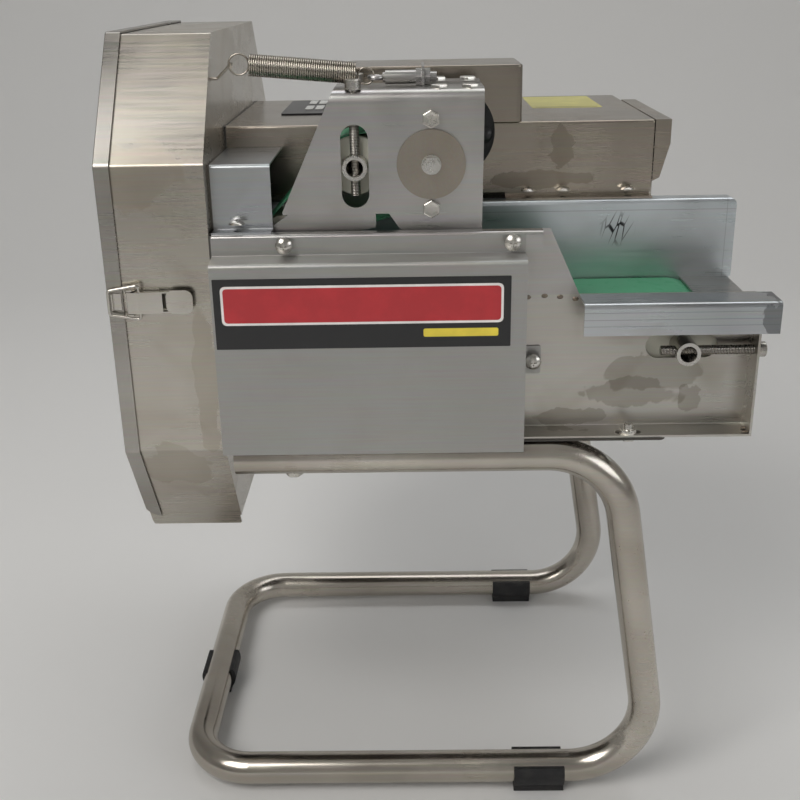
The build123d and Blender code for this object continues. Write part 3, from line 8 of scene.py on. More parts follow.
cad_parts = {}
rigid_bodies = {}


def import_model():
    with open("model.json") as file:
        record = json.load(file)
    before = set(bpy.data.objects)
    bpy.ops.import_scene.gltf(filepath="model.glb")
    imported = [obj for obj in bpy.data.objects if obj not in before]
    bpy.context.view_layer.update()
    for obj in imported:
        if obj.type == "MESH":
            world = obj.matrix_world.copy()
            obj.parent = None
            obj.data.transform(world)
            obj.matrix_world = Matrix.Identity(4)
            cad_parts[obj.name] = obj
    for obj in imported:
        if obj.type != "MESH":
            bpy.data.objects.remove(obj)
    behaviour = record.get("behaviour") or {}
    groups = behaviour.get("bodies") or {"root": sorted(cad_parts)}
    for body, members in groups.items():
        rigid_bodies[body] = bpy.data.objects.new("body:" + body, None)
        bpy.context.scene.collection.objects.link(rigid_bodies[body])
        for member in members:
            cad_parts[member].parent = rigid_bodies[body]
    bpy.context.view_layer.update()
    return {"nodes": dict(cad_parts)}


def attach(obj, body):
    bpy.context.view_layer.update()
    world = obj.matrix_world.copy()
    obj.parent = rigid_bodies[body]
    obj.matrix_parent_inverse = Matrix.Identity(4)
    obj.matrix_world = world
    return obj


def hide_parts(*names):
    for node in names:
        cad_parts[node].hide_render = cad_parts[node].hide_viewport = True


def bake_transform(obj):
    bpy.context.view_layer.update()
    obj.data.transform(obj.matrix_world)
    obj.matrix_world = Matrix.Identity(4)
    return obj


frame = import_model()

# The place of the machine: a pale seamless floor that curves up behind it, as in a small studio.
# It is one swept sheet, modelled from a plane whose back edge is extruded upward and rounded.
floor_size = 9.0
floor_front = -3.5
sweep_y = 3.2
sweep_height = 4.0
sweep_radius = 1.6


def select_only(piece):
    """Makes this object the only selected and the active one."""
    for other in bpy.context.view_layer.objects.selected[:]:
        other.select_set(False)
    piece.select_set(True)
    bpy.context.view_layer.objects.active = piece


def apply_modifiers(piece):
    """Applies every modifier of the piece, in order."""
    select_only(piece)
    for modifier in piece.modifiers[:]:
        bpy.ops.object.modifier_apply(modifier=modifier.name)


def new_material(name):
    """An empty node material with a Principled shader on its output."""
    material = bpy.data.materials.new(name)
    material.use_nodes = True
    nodes = material.node_tree.nodes
    nodes.clear()
    surface = nodes.new("ShaderNodeBsdfPrincipled")
    output = nodes.new("ShaderNodeOutputMaterial")
    material.node_tree.links.new(surface.outputs["BSDF"], output.inputs["Surface"])
    return material, surface


floor_material, floor_surface = new_material("studio_floor")
floor_surface.inputs["Base Color"].default_value = (0.84, 0.835, 0.825, 1)
floor_surface.inputs["Roughness"].default_value = 0.75
floor_surface.inputs["Specular IOR Level"].default_value = 0.2

bpy.ops.mesh.primitive_plane_add(size=1, location=(0, (floor_front + sweep_y) / 2, 0))
studio_floor = bpy.context.object
studio_floor.name = "studio_floor"
studio_floor.scale = (floor_size, sweep_y - floor_front, 1)
select_only(studio_floor)
bpy.ops.object.transform_apply(location=True, rotation=True, scale=True)
bpy.ops.object.mode_set(mode="EDIT")
bpy.ops.mesh.select_mode(type="EDGE")
floor_mesh = bmesh.from_edit_mesh(studio_floor.data)
for edge in floor_mesh.edges:
    edge.select_set(all(vertex.co.y > sweep_y - 0.01 for vertex in edge.verts))
bpy.ops.mesh.extrude_region_move(TRANSFORM_OT_translate={"value": (0, 0, sweep_height)})
floor_mesh = bmesh.from_edit_mesh(studio_floor.data)
for edge in floor_mesh.edges:
    edge.select_set(all(abs(vertex.co.y - sweep_y) < 0.01 and vertex.co.z < 0.01 for vertex in edge.verts))
bpy.ops.mesh.bevel(offset=sweep_radius, segments=16, affect="EDGES")
bpy.ops.object.mode_set(mode="OBJECT")
bpy.ops.object.shade_smooth()
studio_floor.data.materials.append(floor_material)

# The light: one big soft box from the upper left, a weaker one from the right and a strip overhead,
# in a room that is bright above and dimmer at eye level, so that bare steel has something to mirror.
room = bpy.data.worlds.new("studio_room")
bpy.context.scene.world = room
room.use_nodes = True
room_nodes = room.node_tree.nodes
room_links = room.node_tree.links
room_nodes.clear()
room_output = room_nodes.new("ShaderNodeOutputWorld")
room_light = room_nodes.new("ShaderNodeBackground")
room_ramp = room_nodes.new("ShaderNodeValToRGB")
room_split = room_nodes.new("ShaderNodeSeparateXYZ")
room_place = room_nodes.new("ShaderNodeTexCoord")
room_range = room_nodes.new("ShaderNodeMapRange")
room_range.inputs["From Min"].default_value = -0.35
room_range.inputs["From Max"].default_value = 1.0
room_links.new(room_place.outputs["Generated"], room_split.inputs["Vector"])
room_links.new(room_split.outputs["Z"], room_range.inputs["Value"])
room_links.new(room_range.outputs["Result"], room_ramp.inputs["Fac"])
room_links.new(room_ramp.outputs["Color"], room_light.inputs["Color"])
room_links.new(room_light.outputs["Background"], room_output.inputs["Surface"])
room_light.inputs["Strength"].default_value = 1.15
room_stops = [
    (0.0, (0.30, 0.27, 0.24, 1)),
    (0.24, (0.34, 0.31, 0.28, 1)),
    (0.36, (0.52, 0.5, 0.49, 1)),
    (0.55, (1.15, 1.22, 1.3, 1)),
    (1.0, (1.75, 1.92, 2.15, 1)),
]
for position, colour in room_stops:
    stop = room_ramp.color_ramp.elements.new(position)
    stop.color = colour
room_ramp.color_ramp.elements.remove(room_ramp.color_ramp.elements[0])
room_ramp.color_ramp.elements.remove(room_ramp.color_ramp.elements[-1])


def soft_box(name, place, target, width, height, power, tint):
    """An area light at a place, aimed at a target."""
    lamp = bpy.data.lights.new(name, "AREA")
    lamp.shape = "RECTANGLE"
    lamp.size = width
    lamp.size_y = height
    lamp.energy = power
    lamp.color = tint
    holder = bpy.data.objects.new(name, lamp)
    bpy.context.scene.collection.objects.link(holder)
    holder.location = place
    holder.rotation_euler = (Vector(target) - Vector(place)).to_track_quat("-Z", "Y").to_euler()
    return holder


soft_box("key_box", (-1.3, -1.7, 2.3), (0, 0, 0.45), 1.5, 1.5, 42, (1.0, 0.985, 0.96))
soft_box("fill_box", (2.2, -1.4, 1.3), (0.1, 0, 0.4), 1.6, 1.2, 12, (0.95, 0.975, 1.0))
soft_box("top_strip", (0.1, 0.5, 2.5), (0, 0, 0.5), 2.2, 1.0, 12, (0.97, 0.985, 1.0))

# The camera stands where the photograph was taken: in front, a little above the top, looking down.
camera_place = Vector((-0.0219, -1.0497, 0.7435))
camera_right = Vector((0.9998, 0.0085, -0.0175))
camera_up = Vector((0.0135, 0.3473, 0.9377))
camera_data = bpy.data.cameras.new("front_camera")
camera_data.lens = 48.15
camera_data.sensor_width = 36.0
camera_data.shift_y = -0.0321
camera_object = bpy.data.objects.new("front_camera", camera_data)
bpy.context.scene.collection.objects.link(camera_object)
camera_back = camera_right.cross(camera_up).normalized()
camera_up = camera_back.cross(camera_right).normalized()
camera_turn = Matrix((camera_right, camera_up, camera_back)).transposed()
camera_object.matrix_world = Matrix.Translation(camera_place) @ camera_turn.to_4x4()
bpy.context.scene.camera = camera_object
bpy.context.scene.view_settings.view_transform = "Standard"
bpy.context.scene.view_settings.look = "None"

# The stand: one satin-polished stainless tube, bent six times, whose two cut ends end under the base
# plate. Its grain runs along the belt; handling has left cloudy patches and faint fingerprints.


def new_group(name, inputs, outputs):
    """An empty shader node group with named sockets; an input is (name, type, default)."""
    group = bpy.data.node_groups.new(name, "ShaderNodeTree")
    for label, kind, value in inputs:
        socket = group.interface.new_socket(name=label, in_out="INPUT", socket_type=kind)
        socket.default_value = value
    for label, kind in outputs:
        group.interface.new_socket(name=label, in_out="OUTPUT", socket_type=kind)
    return group, group.nodes.new("NodeGroupInput"), group.nodes.new("NodeGroupOutput")


def join(tree, pairs):
    """Links pairs of sockets in a node tree."""
    for source, target in pairs:
        tree.links.new(source, target)


def noise(tree, scale, detail=2.0, roughness=0.5, distortion=0.0):
    """A noise texture with its numbers set."""
    texture = tree.nodes.new("ShaderNodeTexNoise")
    texture.inputs["Scale"].default_value = scale
    texture.inputs["Detail"].default_value = detail
    texture.inputs["Roughness"].default_value = roughness
    texture.inputs["Distortion"].default_value = distortion
    return texture


def stretch(tree, low, high, to_low=0.0, to_high=1.0):
    """A clamped map range."""
    node = tree.nodes.new("ShaderNodeMapRange")
    node.inputs["From Min"].default_value = low
    node.inputs["From Max"].default_value = high
    node.inputs["To Min"].default_value = to_low
    node.inputs["To Max"].default_value = to_high
    return node


def maths(tree, operation, first=None, second=None):
    """A math node with its fixed numbers set."""
    node = tree.nodes.new("ShaderNodeMath")
    node.operation = operation
    if first is not None:
        node.inputs[0].default_value = first
    if second is not None:
        node.inputs[1].default_value = second
    return node


def mixer(tree, kind="MIX", factor=0.5, first=None, second=None):
    """A colour mix node: factor on input 0, colours on inputs 6 and 7, result on output 2."""
    node = tree.nodes.new("ShaderNodeMix")
    node.data_type = "RGBA"
    node.blend_type = kind
    node.inputs[0].default_value = factor
    if first is not None:
        node.inputs[6].default_value = (*first, 1)
    if second is not None:
        node.inputs[7].default_value = (*second, 1)
    return node


brushed, brushed_in, brushed_out = new_group(
    "brushed_steel",
    [
        ("Streaks", "NodeSocketVector", (12.0, 500.0, 500.0)),
        ("Light", "NodeSocketColor", (0.7, 0.69, 0.67, 1)),
        ("Dark", "NodeSocketColor", (0.5, 0.48, 0.45, 1)),
        ("Gloss", "NodeSocketFloat", 0.25),
        ("Matt", "NodeSocketFloat", 0.42),
        ("Depth", "NodeSocketFloat", 0.03),
        ("Handling", "NodeSocketFloat", 0.5),
    ],
    [("Color", "NodeSocketColor"), ("Roughness", "NodeSocketFloat"), ("Normal", "NodeSocketVector")],
)
place = brushed.nodes.new("ShaderNodeTexCoord")
streak_scale = brushed.nodes.new("ShaderNodeVectorMath")
streak_scale.operation = "MULTIPLY"
streaks = noise(brushed, 1.0, 2.0, 0.6)
clouds = noise(brushed, 6.0, 2.0, 0.55, 0.6)
smears = noise(brushed, 16.0, 2.0, 0.45, 0.8)
cloud_range = stretch(brushed, 0.3, 0.7)
smear_range = stretch(brushed, 0.5, 0.8)
streak_range = stretch(brushed, 0.3, 0.7, -0.5, 0.5)
tone = mixer(brushed)
streak_tint = mixer(brushed, "OVERLAY", 0.1)
smear_tint = mixer(brushed, "MULTIPLY", 0.5, None, (0.8, 0.77, 0.72))
smear_amount = maths(brushed, "MULTIPLY")
rough_mix = brushed.nodes.new("ShaderNodeMix")
rough_streak = maths(brushed, "MULTIPLY_ADD", None, 0.08)
rough_smear = maths(brushed, "MULTIPLY_ADD", None, 0.12)
grain_bump = brushed.nodes.new("ShaderNodeBump")
grain_bump.inputs["Distance"].default_value = 0.0001
join(brushed, [
    (place.outputs["Object"], streak_scale.inputs[0]),
    (brushed_in.outputs["Streaks"], streak_scale.inputs[1]),
    (streak_scale.outputs["Vector"], streaks.inputs["Vector"]),
    (place.outputs["Object"], clouds.inputs["Vector"]),
    (place.outputs["Object"], smears.inputs["Vector"]),
    (clouds.outputs["Fac"], cloud_range.inputs["Value"]),
    (smears.outputs["Fac"], smear_range.inputs["Value"]),
    (streaks.outputs["Fac"], streak_range.inputs["Value"]),
    (cloud_range.outputs["Result"], tone.inputs[0]),
    (brushed_in.outputs["Dark"], tone.inputs[6]),
    (brushed_in.outputs["Light"], tone.inputs[7]),
    (tone.outputs[2], streak_tint.inputs[6]),
    (streaks.outputs["Color"], streak_tint.inputs[7]),
    (smear_range.outputs["Result"], smear_amount.inputs[0]),
    (brushed_in.outputs["Handling"], smear_amount.inputs[1]),
    (smear_amount.outputs[0], smear_tint.inputs[0]),
    (streak_tint.outputs[2], smear_tint.inputs[6]),
    (smear_tint.outputs[2], brushed_out.inputs["Color"]),
    (cloud_range.outputs["Result"], rough_mix.inputs[0]),
    (brushed_in.outputs["Gloss"], rough_mix.inputs[2]),
    (brushed_in.outputs["Matt"], rough_mix.inputs[3]),
    (streak_range.outputs["Result"], rough_streak.inputs[0]),
    (rough_mix.outputs[0], rough_streak.inputs[2]),
    (smear_amount.outputs[0], rough_smear.inputs[0]),
    (rough_streak.outputs[0], rough_smear.inputs[2]),
    (rough_smear.outputs[0], brushed_out.inputs["Roughness"]),
    (streaks.outputs["Fac"], grain_bump.inputs["Height"]),
    (brushed_in.outputs["Depth"], grain_bump.inputs["Strength"]),
    (grain_bump.outputs["Normal"], brushed_out.inputs["Normal"]),
])


def steel(name, along, light, dark, gloss=0.25, matt=0.4, depth=0.03, handling=0.5):
    """Stainless steel whose grain runs along X, Y or Z of the machine."""
    material, surface = new_material(name)
    tree = material.node_tree
    finish = tree.nodes.new("ShaderNodeGroup")
    finish.node_tree = brushed
    finish.inputs["Streaks"].default_value = [14.0 if axis == along else 520.0 for axis in "XYZ"]
    finish.inputs["Light"].default_value = (*light, 1)
    finish.inputs["Dark"].default_value = (*dark, 1)
    finish.inputs["Gloss"].default_value = gloss
    finish.inputs["Matt"].default_value = matt
    finish.inputs["Depth"].default_value = depth
    finish.inputs["Handling"].default_value = handling
    surface.inputs["Metallic"].default_value = 1.0
    join(tree, [
        (finish.outputs["Color"], surface.inputs["Base Color"]),
        (finish.outputs["Roughness"], surface.inputs["Roughness"]),
        (finish.outputs["Normal"], surface.inputs["Normal"]),
    ])
    return material, surface, finish


def coat(material, *nodes):
    """Gives CAD nodes this material in all their material slots."""
    for node in nodes:
        piece = frame["nodes"][node]
        if not piece.material_slots:
            piece.data.materials.append(material)
        for holder in piece.material_slots:
            holder.material = material


tube_steel, tube_surface, tube_finish = steel(
    "stand_tube_steel", "X", (0.6, 0.56, 0.5), (0.4, 0.365, 0.32), 0.16, 0.27, 0.02, 0.55)
coat(tube_steel, "stand_tube")

# The black rubber clips that the stand rests on: moulded saddles pushed over the tube, with a fine
# moulded grain, dusty where they have been handled.


def moulded(name, dark, pale, gloss, grain_scale, dust_scale, grain_depth=0.15):
    """A moulded or enamelled surface: cloudy dust over a dark ground and a fine even grain."""
    material, surface = new_material(name)
    tree = material.node_tree
    coordinates = tree.nodes.new("ShaderNodeTexCoord")
    grain = noise(tree, grain_scale, 3.0)
    dust = noise(tree, dust_scale, 4.0, 0.6)
    dust_range = stretch(tree, 0.45, 0.8)
    ground = mixer(tree, "MIX", 0.5, dark, pale)
    grain_height = tree.nodes.new("ShaderNodeBump")
    grain_height.inputs["Strength"].default_value = grain_depth
    grain_height.inputs["Distance"].default_value = 0.0003
    surface.inputs["Roughness"].default_value = gloss
    join(tree, [
        (coordinates.outputs["Object"], grain.inputs["Vector"]),
        (coordinates.outputs["Object"], dust.inputs["Vector"]),
        (dust.outputs["Fac"], dust_range.inputs["Value"]),
        (dust_range.outputs["Result"], ground.inputs[0]),
        (ground.outputs[2], surface.inputs["Base Color"]),
        (grain.outputs["Fac"], grain_height.inputs["Height"]),
        (grain_height.outputs["Normal"], surface.inputs["Normal"]),
    ])
    return material, surface, ground


rubber, rubber_surface, rubber_ground = moulded(
    "clip_rubber", (0.008, 0.008, 0.009), (0.035, 0.032, 0.03), 0.6, 900.0, 60.0)
coat(rubber, "foot_clips")

# The base plate across the stand's rails: plate coloured very dark, of which the edge and the underside show.
plate_steel, plate_surface, plate_finish = steel(
    "base_plate_steel", "X", (0.13, 0.12, 0.11), (0.07, 0.065, 0.06), 0.4, 0.55, 0.06, 0.6)
coat(plate_steel, "base_plate")

# Hex bolts: through the rails, in the bearing flanges and on top of the press. Each head is turned
# stainless with chamfered corners and a shallow ring on top; the rail bolts carry a nut on a stub.


def spot(x, y, z):
    """Metres, from millimetres right of the knife wall, behind the front plate and above the floor."""
    return Vector((x - 188.5, y - 185.8, z)) / 1000


def settle(piece, body, finish, material, *stands_for):
    """Applies the piece's place, gives it its material and lets it ride on a CAD body."""
    select_only(piece)
    bpy.ops.object.transform_apply(location=True, rotation=True, scale=True)
    piece.data.materials.clear()
    piece.data.materials.append(material)
    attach(piece, body)
    if stands_for:
        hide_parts(*stands_for)


def copy_to(pattern, name, location, facing):
    """A copy of a piece with its own mesh, its own Z turned to face along a direction."""
    twin = pattern.copy()
    twin.data = pattern.data.copy()
    twin.name = name
    bpy.context.scene.collection.objects.link(twin)
    turn = Vector((0, 0, 1)).rotation_difference(Vector(facing))
    twin.matrix_world = Matrix.Translation(location) @ turn.to_matrix().to_4x4()
    return twin


def pick_faces(piece, test):
    """Selects the faces of the piece in edit mode whose centre and normal pass the test."""
    cage = bmesh.from_edit_mesh(piece.data)
    for face in cage.faces:
        face.select_set(test(face.calc_center_median(), face.normal))
    cage.select_flush_mode()
    bmesh.update_edit_mesh(piece.data)


bolt_steel, bolt_surface, bolt_finish = steel(
    "bolt_steel", "Y", (0.72, 0.7, 0.66), (0.5, 0.48, 0.44), 0.16, 0.3, 0.02, 0.8)
head_flats = 0.013
head_height = 0.0053
head_radius = head_flats / 2 / cos(radians(30))
bpy.ops.object.select_all(action="DESELECT")
bpy.ops.mesh.primitive_cylinder_add(
    vertices=6, radius=head_radius, depth=head_height, location=(0, 0, head_height / 2))
hex_head = bpy.context.object
bpy.ops.object.mode_set(mode="EDIT")
bpy.ops.mesh.select_mode(type="FACE")
pick_faces(hex_head, lambda centre, normal: normal.z > 0.9)
bpy.ops.mesh.inset(thickness=0.0008)
bpy.ops.transform.translate(value=(0, 0, 0.0005))
bpy.ops.mesh.inset(thickness=0.0022)
bpy.ops.transform.translate(value=(0, 0, -0.0006))
bpy.ops.mesh.select_all(action="SELECT")
bpy.ops.transform.translate(value=(0, 0, -0.0005))
bpy.ops.mesh.bevel(offset=0.00025, segments=2, affect="EDGES")
bpy.ops.object.mode_set(mode="OBJECT")
select_only(hex_head)
bpy.ops.object.shade_smooth_by_angle(angle=radians(25))
press_bolt_places = [
    (182, 5, 566, 0, -1, 0), (182, 5, 638, 0, -1, 0), (182, 81, 566, 0, 1, 0), (182, 81, 638, 0, 1, 0),
    (189, 22, 661, 0, 0, 1), (214, 22, 661, 0, 0, 1), (189, 66, 663, 0, 0, 1), (214, 66, 663, 0, 0, 1),
]
frame_bolt_places = [
    (42, -3, 410.5, 0, -1, 0), (42, -3, 482.5, 0, -1, 0), (42, 86, 410.5, 0, 1, 0),
    (42, 86, 482.5, 0, 1, 0), (60, -16, 340, 0, 0, -1), (60, 321, 340, 0, 0, -1),
    (349, -16, 370, 0, 0, -1), (349, 321, 370, 0, 0, -1),
]
for body, node, places in (("press", "press_bolts", press_bolt_places), ("root", "frame_bolts", frame_bolt_places)):
    for index, (x, y, z, *facing) in enumerate(places):
        head = copy_to(hex_head, f"{node}_head_{index + 1}", spot(x, y, z), facing)
        settle(head, body, "bolt", bolt_steel, node)

nut_height = 0.0065
stub_radius = 0.004
bpy.ops.object.select_all(action="DESELECT")
bpy.ops.mesh.primitive_cylinder_add(
    vertices=6, radius=head_radius, depth=nut_height, location=(0, 0, nut_height / 2))
rail_nut = bpy.context.object
bpy.ops.object.mode_set(mode="EDIT")
bpy.ops.mesh.select_mode(type="FACE")
pick_faces(rail_nut, lambda centre, normal: abs(normal.z) > 0.9)
bpy.ops.mesh.inset(thickness=0.0006)
bpy.ops.mesh.select_all(action="SELECT")
bpy.ops.mesh.bevel(offset=0.0003, segments=2, affect="EDGES")
bpy.ops.object.mode_set(mode="OBJECT")
bpy.ops.mesh.primitive_cylinder_add(
    vertices=24, radius=stub_radius, depth=0.0105, location=(0, 0, 0.0062))
stub = bpy.context.object
bpy.ops.object.mode_set(mode="EDIT")
bpy.ops.mesh.select_mode(type="FACE")
pick_faces(stub, lambda centre, normal: normal.z > 0.9)
bpy.ops.mesh.bevel(offset=0.0007, segments=2, affect="EDGES")
bpy.ops.object.mode_set(mode="OBJECT")
rail_nut.select_set(True)
bpy.context.view_layer.objects.active = rail_nut
bpy.ops.object.join()
select_only(rail_nut)
bpy.ops.object.shade_smooth_by_angle(angle=radians(25))
for index, (x, y) in enumerate([(60, -16), (60, 321), (349, -16), (349, 321)]):
    nut = copy_to(rail_nut, f"rail_nut_{index + 1}", spot(x, y, 374), (0, 0, 1))
    settle(nut, "root", "bolt", bolt_steel, "frame_bolts")
for pattern in (hex_head, rail_nut):
    bpy.data.objects.remove(pattern)

# The front side plate: brushed sheet with folded flanges, marked by dried water round the slot of the
# tension axle. The stains are darker and a little rougher.
stain, stain_in, stain_out = new_group(
    "water_stain",
    [
        ("Middle", "NodeSocketVector", (0, 0, 0)),
        ("Reach", "NodeSocketVector", (0.06, 0.02, 0.03)),
        ("Scale", "NodeSocketFloat", 22.0),
    ],
    [("Mask", "NodeSocketFloat")],
)
stain_place = stain.nodes.new("ShaderNodeTexCoord")
stain_offset = stain.nodes.new("ShaderNodeVectorMath")
stain_offset.operation = "SUBTRACT"
stain_ratio = stain.nodes.new("ShaderNodeVectorMath")
stain_ratio.operation = "DIVIDE"
stain_length = stain.nodes.new("ShaderNodeVectorMath")
stain_length.operation = "LENGTH"
stain_noise = noise(stain, 22.0, 3.0, 0.5, 0.8)
stain_wobble = maths(stain, "MULTIPLY_ADD", None, 1.6)
stain_edge = stretch(stain, 1.75, 1.68)
join(stain, [
    (stain_place.outputs["Object"], stain_offset.inputs[0]),
    (stain_in.outputs["Middle"], stain_offset.inputs[1]),
    (stain_offset.outputs["Vector"], stain_ratio.inputs[0]),
    (stain_in.outputs["Reach"], stain_ratio.inputs[1]),
    (stain_ratio.outputs["Vector"], stain_length.inputs[0]),
    (stain_place.outputs["Object"], stain_noise.inputs["Vector"]),
    (stain_in.outputs["Scale"], stain_noise.inputs["Scale"]),
    (stain_noise.outputs["Fac"], stain_wobble.inputs[0]),
    (stain_length.outputs["Value"], stain_wobble.inputs[2]),
    (stain_wobble.outputs[0], stain_edge.inputs["Value"]),
    (stain_edge.outputs["Result"], stain_out.inputs["Mask"]),
])


def wet_marks(material, surface, marks, colour, strength):
    """Darkens and roughens the surface in stained areas; a mark is (middle, reach, scale)."""
    tree = material.node_tree
    for middle, reach, scale in marks:
        mark = tree.nodes.new("ShaderNodeGroup")
        mark.node_tree = stain
        mark.inputs["Middle"].default_value = middle
        mark.inputs["Reach"].default_value = reach
        mark.inputs["Scale"].default_value = scale
        amount = maths(tree, "MULTIPLY", None, strength)
        tint = mixer(tree, "MULTIPLY", 0.5, None, colour)
        dull = maths(tree, "MULTIPLY_ADD", None, 0.1)
        colour_from = surface.inputs["Base Color"].links[0].from_socket
        rough_from = surface.inputs["Roughness"].links[0].from_socket
        join(tree, [
            (mark.outputs["Mask"], amount.inputs[0]),
            (amount.outputs[0], tint.inputs[0]),
            (colour_from, tint.inputs[6]),
            (tint.outputs[2], surface.inputs["Base Color"]),
            (amount.outputs[0], dull.inputs[0]),
            (rough_from, dull.inputs[2]),
            (dull.outputs[0], surface.inputs["Roughness"]),
        ])


front_steel, front_surface, front_finish = steel(
    "front_plate_sheet", "X", (0.6, 0.58, 0.54), (0.43, 0.41, 0.375), 0.26, 0.4, 0.03, 0.8)
wet_marks(front_steel, front_surface, [
    (spot(368, 0, 424), (0.045, 0.05, 0.02), 26.0),
    (spot(350, 0, 404), (0.05, 0.05, 0.014), 34.0),
    (spot(404, 0, 398), (0.012, 0.05, 0.014), 60.0),
    (spot(300, 0, 382), (0.04, 0.05, 0.008), 44.0),
], (0.62, 0.6, 0.56), 0.6)
coat(front_steel, "frame_front_plate")

# The guide rail, the hand rest along the front: cold bluish sheet with three pressed creases in its
# face, each drawn as a thin line of painted shade, and a ground weld patch at its closed right end.
rail_steel, rail_surface, rail_finish = steel(
    "guide_rail_sheet", "X", (0.62, 0.65, 0.67), (0.42, 0.44, 0.455), 0.2, 0.34, 0.03, 0.5)
wet_marks(rail_steel, rail_surface, [(spot(463, -20, 480), (0.012, 0.05, 0.02), 60.0)], (0.45, 0.45, 0.45), 0.85)
rail_tree = rail_steel.node_tree
rail_place = rail_tree.nodes.new("ShaderNodeTexCoord")
rail_split = rail_tree.nodes.new("ShaderNodeSeparateXYZ")
join(rail_tree, [(rail_place.outputs["Object"], rail_split.inputs["Vector"])])
# Painted shade: a thin dark line along each crease.
for crease_z in (0.4795, 0.4855, 0.474):
    away = maths(rail_tree, "SUBTRACT", None, crease_z)
    size = maths(rail_tree, "ABSOLUTE")
    line = stretch(rail_tree, 0.0004, 0.0001)
    faint = maths(rail_tree, "MULTIPLY", None, 0.5)
    painted_fold_shade = mixer(rail_tree, "MIX", 0.5, None, (0.16, 0.16, 0.17))
    before = rail_surface.inputs["Base Color"].links[0].from_socket
    join(rail_tree, [
        (rail_split.outputs["Z"], away.inputs[0]),
        (away.outputs[0], size.inputs[0]),
        (size.outputs[0], line.inputs["Value"]),
        (line.outputs["Result"], faint.inputs[0]),
        (faint.outputs[0], painted_fold_shade.inputs[0]),
        (before, painted_fold_shade.inputs[6]),
        (painted_fold_shade.outputs[2], rail_surface.inputs["Base Color"]),
    ])
coat(rail_steel, "guide_rail")

# The channel's front wall: grey sheet with a folded flange and lip, tack welded to the front plate.
# The tacks are small raised beads, brown from the heat.
wall_steel, wall_surface, wall_finish = steel(
    "channel_wall_sheet", "X", (0.56, 0.55, 0.54), (0.38, 0.365, 0.35), 0.22, 0.36, 0.03, 0.7)
coat(wall_steel, "channel_wall")
weld_steel, weld_surface, weld_finish = steel(
    "weld_metal", "X", (0.32, 0.27, 0.22), (0.16, 0.13, 0.11), 0.3, 0.5, 0.1, 1.0)
bpy.ops.object.select_all(action="DESELECT")
bpy.ops.mesh.primitive_ico_sphere_add(subdivisions=2, radius=0.002, location=(0, 0, 0))
bead = bpy.context.object
bpy.ops.object.mode_set(mode="EDIT")
bpy.ops.mesh.select_all(action="SELECT")
bpy.ops.transform.resize(value=(1.4, 1.0, 0.4))
bpy.ops.mesh.bisect(plane_co=(0, 0, -0.0002), plane_no=(0, 0, 1), use_fill=True, clear_inner=True)
bpy.ops.object.mode_set(mode="OBJECT")
select_only(bead)
bpy.ops.object.shade_smooth()
tack_places = [(276, 0, 492), (289, 0, 491), (302, 0, 489), (262, 0, 491), (448, -20, 375), (449, -12, 375)]
for index, (x, y, z) in enumerate(tack_places):
    tack = copy_to(bead, f"tack_weld_{index + 1}", spot(x, y, z), (0, -1, 0) if y == 0 else (0, 0, 1))
    settle(tack, "root", "sheet", weld_steel)
bpy.data.objects.remove(bead)

# The guard behind the belt: pale bluish sheet with its top and right edges folded back. It carries a
# faint line of painted shade along the fold under each edge, and a few short black scratches from the machine's own
# lid.
guard_steel, guard_surface, guard_finish = steel(
    "guard_sheet", "X", (0.74, 0.79, 0.82), (0.56, 0.6, 0.63), 0.24, 0.4, 0.03, 0.35)
guard_tree = guard_steel.node_tree
guard_place = guard_tree.nodes.new("ShaderNodeTexCoord")
guard_split = guard_tree.nodes.new("ShaderNodeSeparateXYZ")
scratch_turn = guard_tree.nodes.new("ShaderNodeMapping")
scratch_turn.inputs["Location"].default_value = -spot(349, 81, 528)
scratch_turn.inputs["Rotation"].default_value = (0, radians(-18), 0)
scratch_cells = guard_tree.nodes.new("ShaderNodeTexVoronoi")
scratch_cells.feature = "DISTANCE_TO_EDGE"
scratch_cells.inputs["Scale"].default_value = 1.0
scratch_stretch = guard_tree.nodes.new("ShaderNodeVectorMath")
scratch_stretch.operation = "MULTIPLY"
scratch_stretch.inputs[1].default_value = (170.0, 1.0, 34.0)
scratch_line = stretch(guard_tree, 0.06, 0.03)
scratch_area = guard_tree.nodes.new("ShaderNodeVectorMath")
scratch_area.operation = "DISTANCE"
scratch_area.inputs[1].default_value = spot(349, 81, 530)
scratch_fade = stretch(guard_tree, 0.017, 0.006)
scratch_mask = maths(guard_tree, "MULTIPLY")
scratch_tint = mixer(guard_tree, "MIX", 0.5, None, (0.05, 0.05, 0.055))
guard_before = guard_surface.inputs["Base Color"].links[0].from_socket
join(guard_tree, [
    (guard_place.outputs["Object"], scratch_turn.inputs["Vector"]),
    (scratch_turn.outputs["Vector"], scratch_stretch.inputs[0]),
    (scratch_stretch.outputs["Vector"], scratch_cells.inputs["Vector"]),
    (scratch_cells.outputs["Distance"], scratch_line.inputs["Value"]),
    (guard_place.outputs["Object"], scratch_area.inputs[0]),
    (scratch_area.outputs["Value"], scratch_fade.inputs["Value"]),
    (scratch_line.outputs["Result"], scratch_mask.inputs[0]),
    (scratch_fade.outputs["Result"], scratch_mask.inputs[1]),
    (scratch_mask.outputs[0], scratch_tint.inputs[0]),
    (guard_before, scratch_tint.inputs[6]),
    (scratch_tint.outputs[2], guard_surface.inputs["Base Color"]),
    (guard_place.outputs["Object"], guard_split.inputs["Vector"]),
])
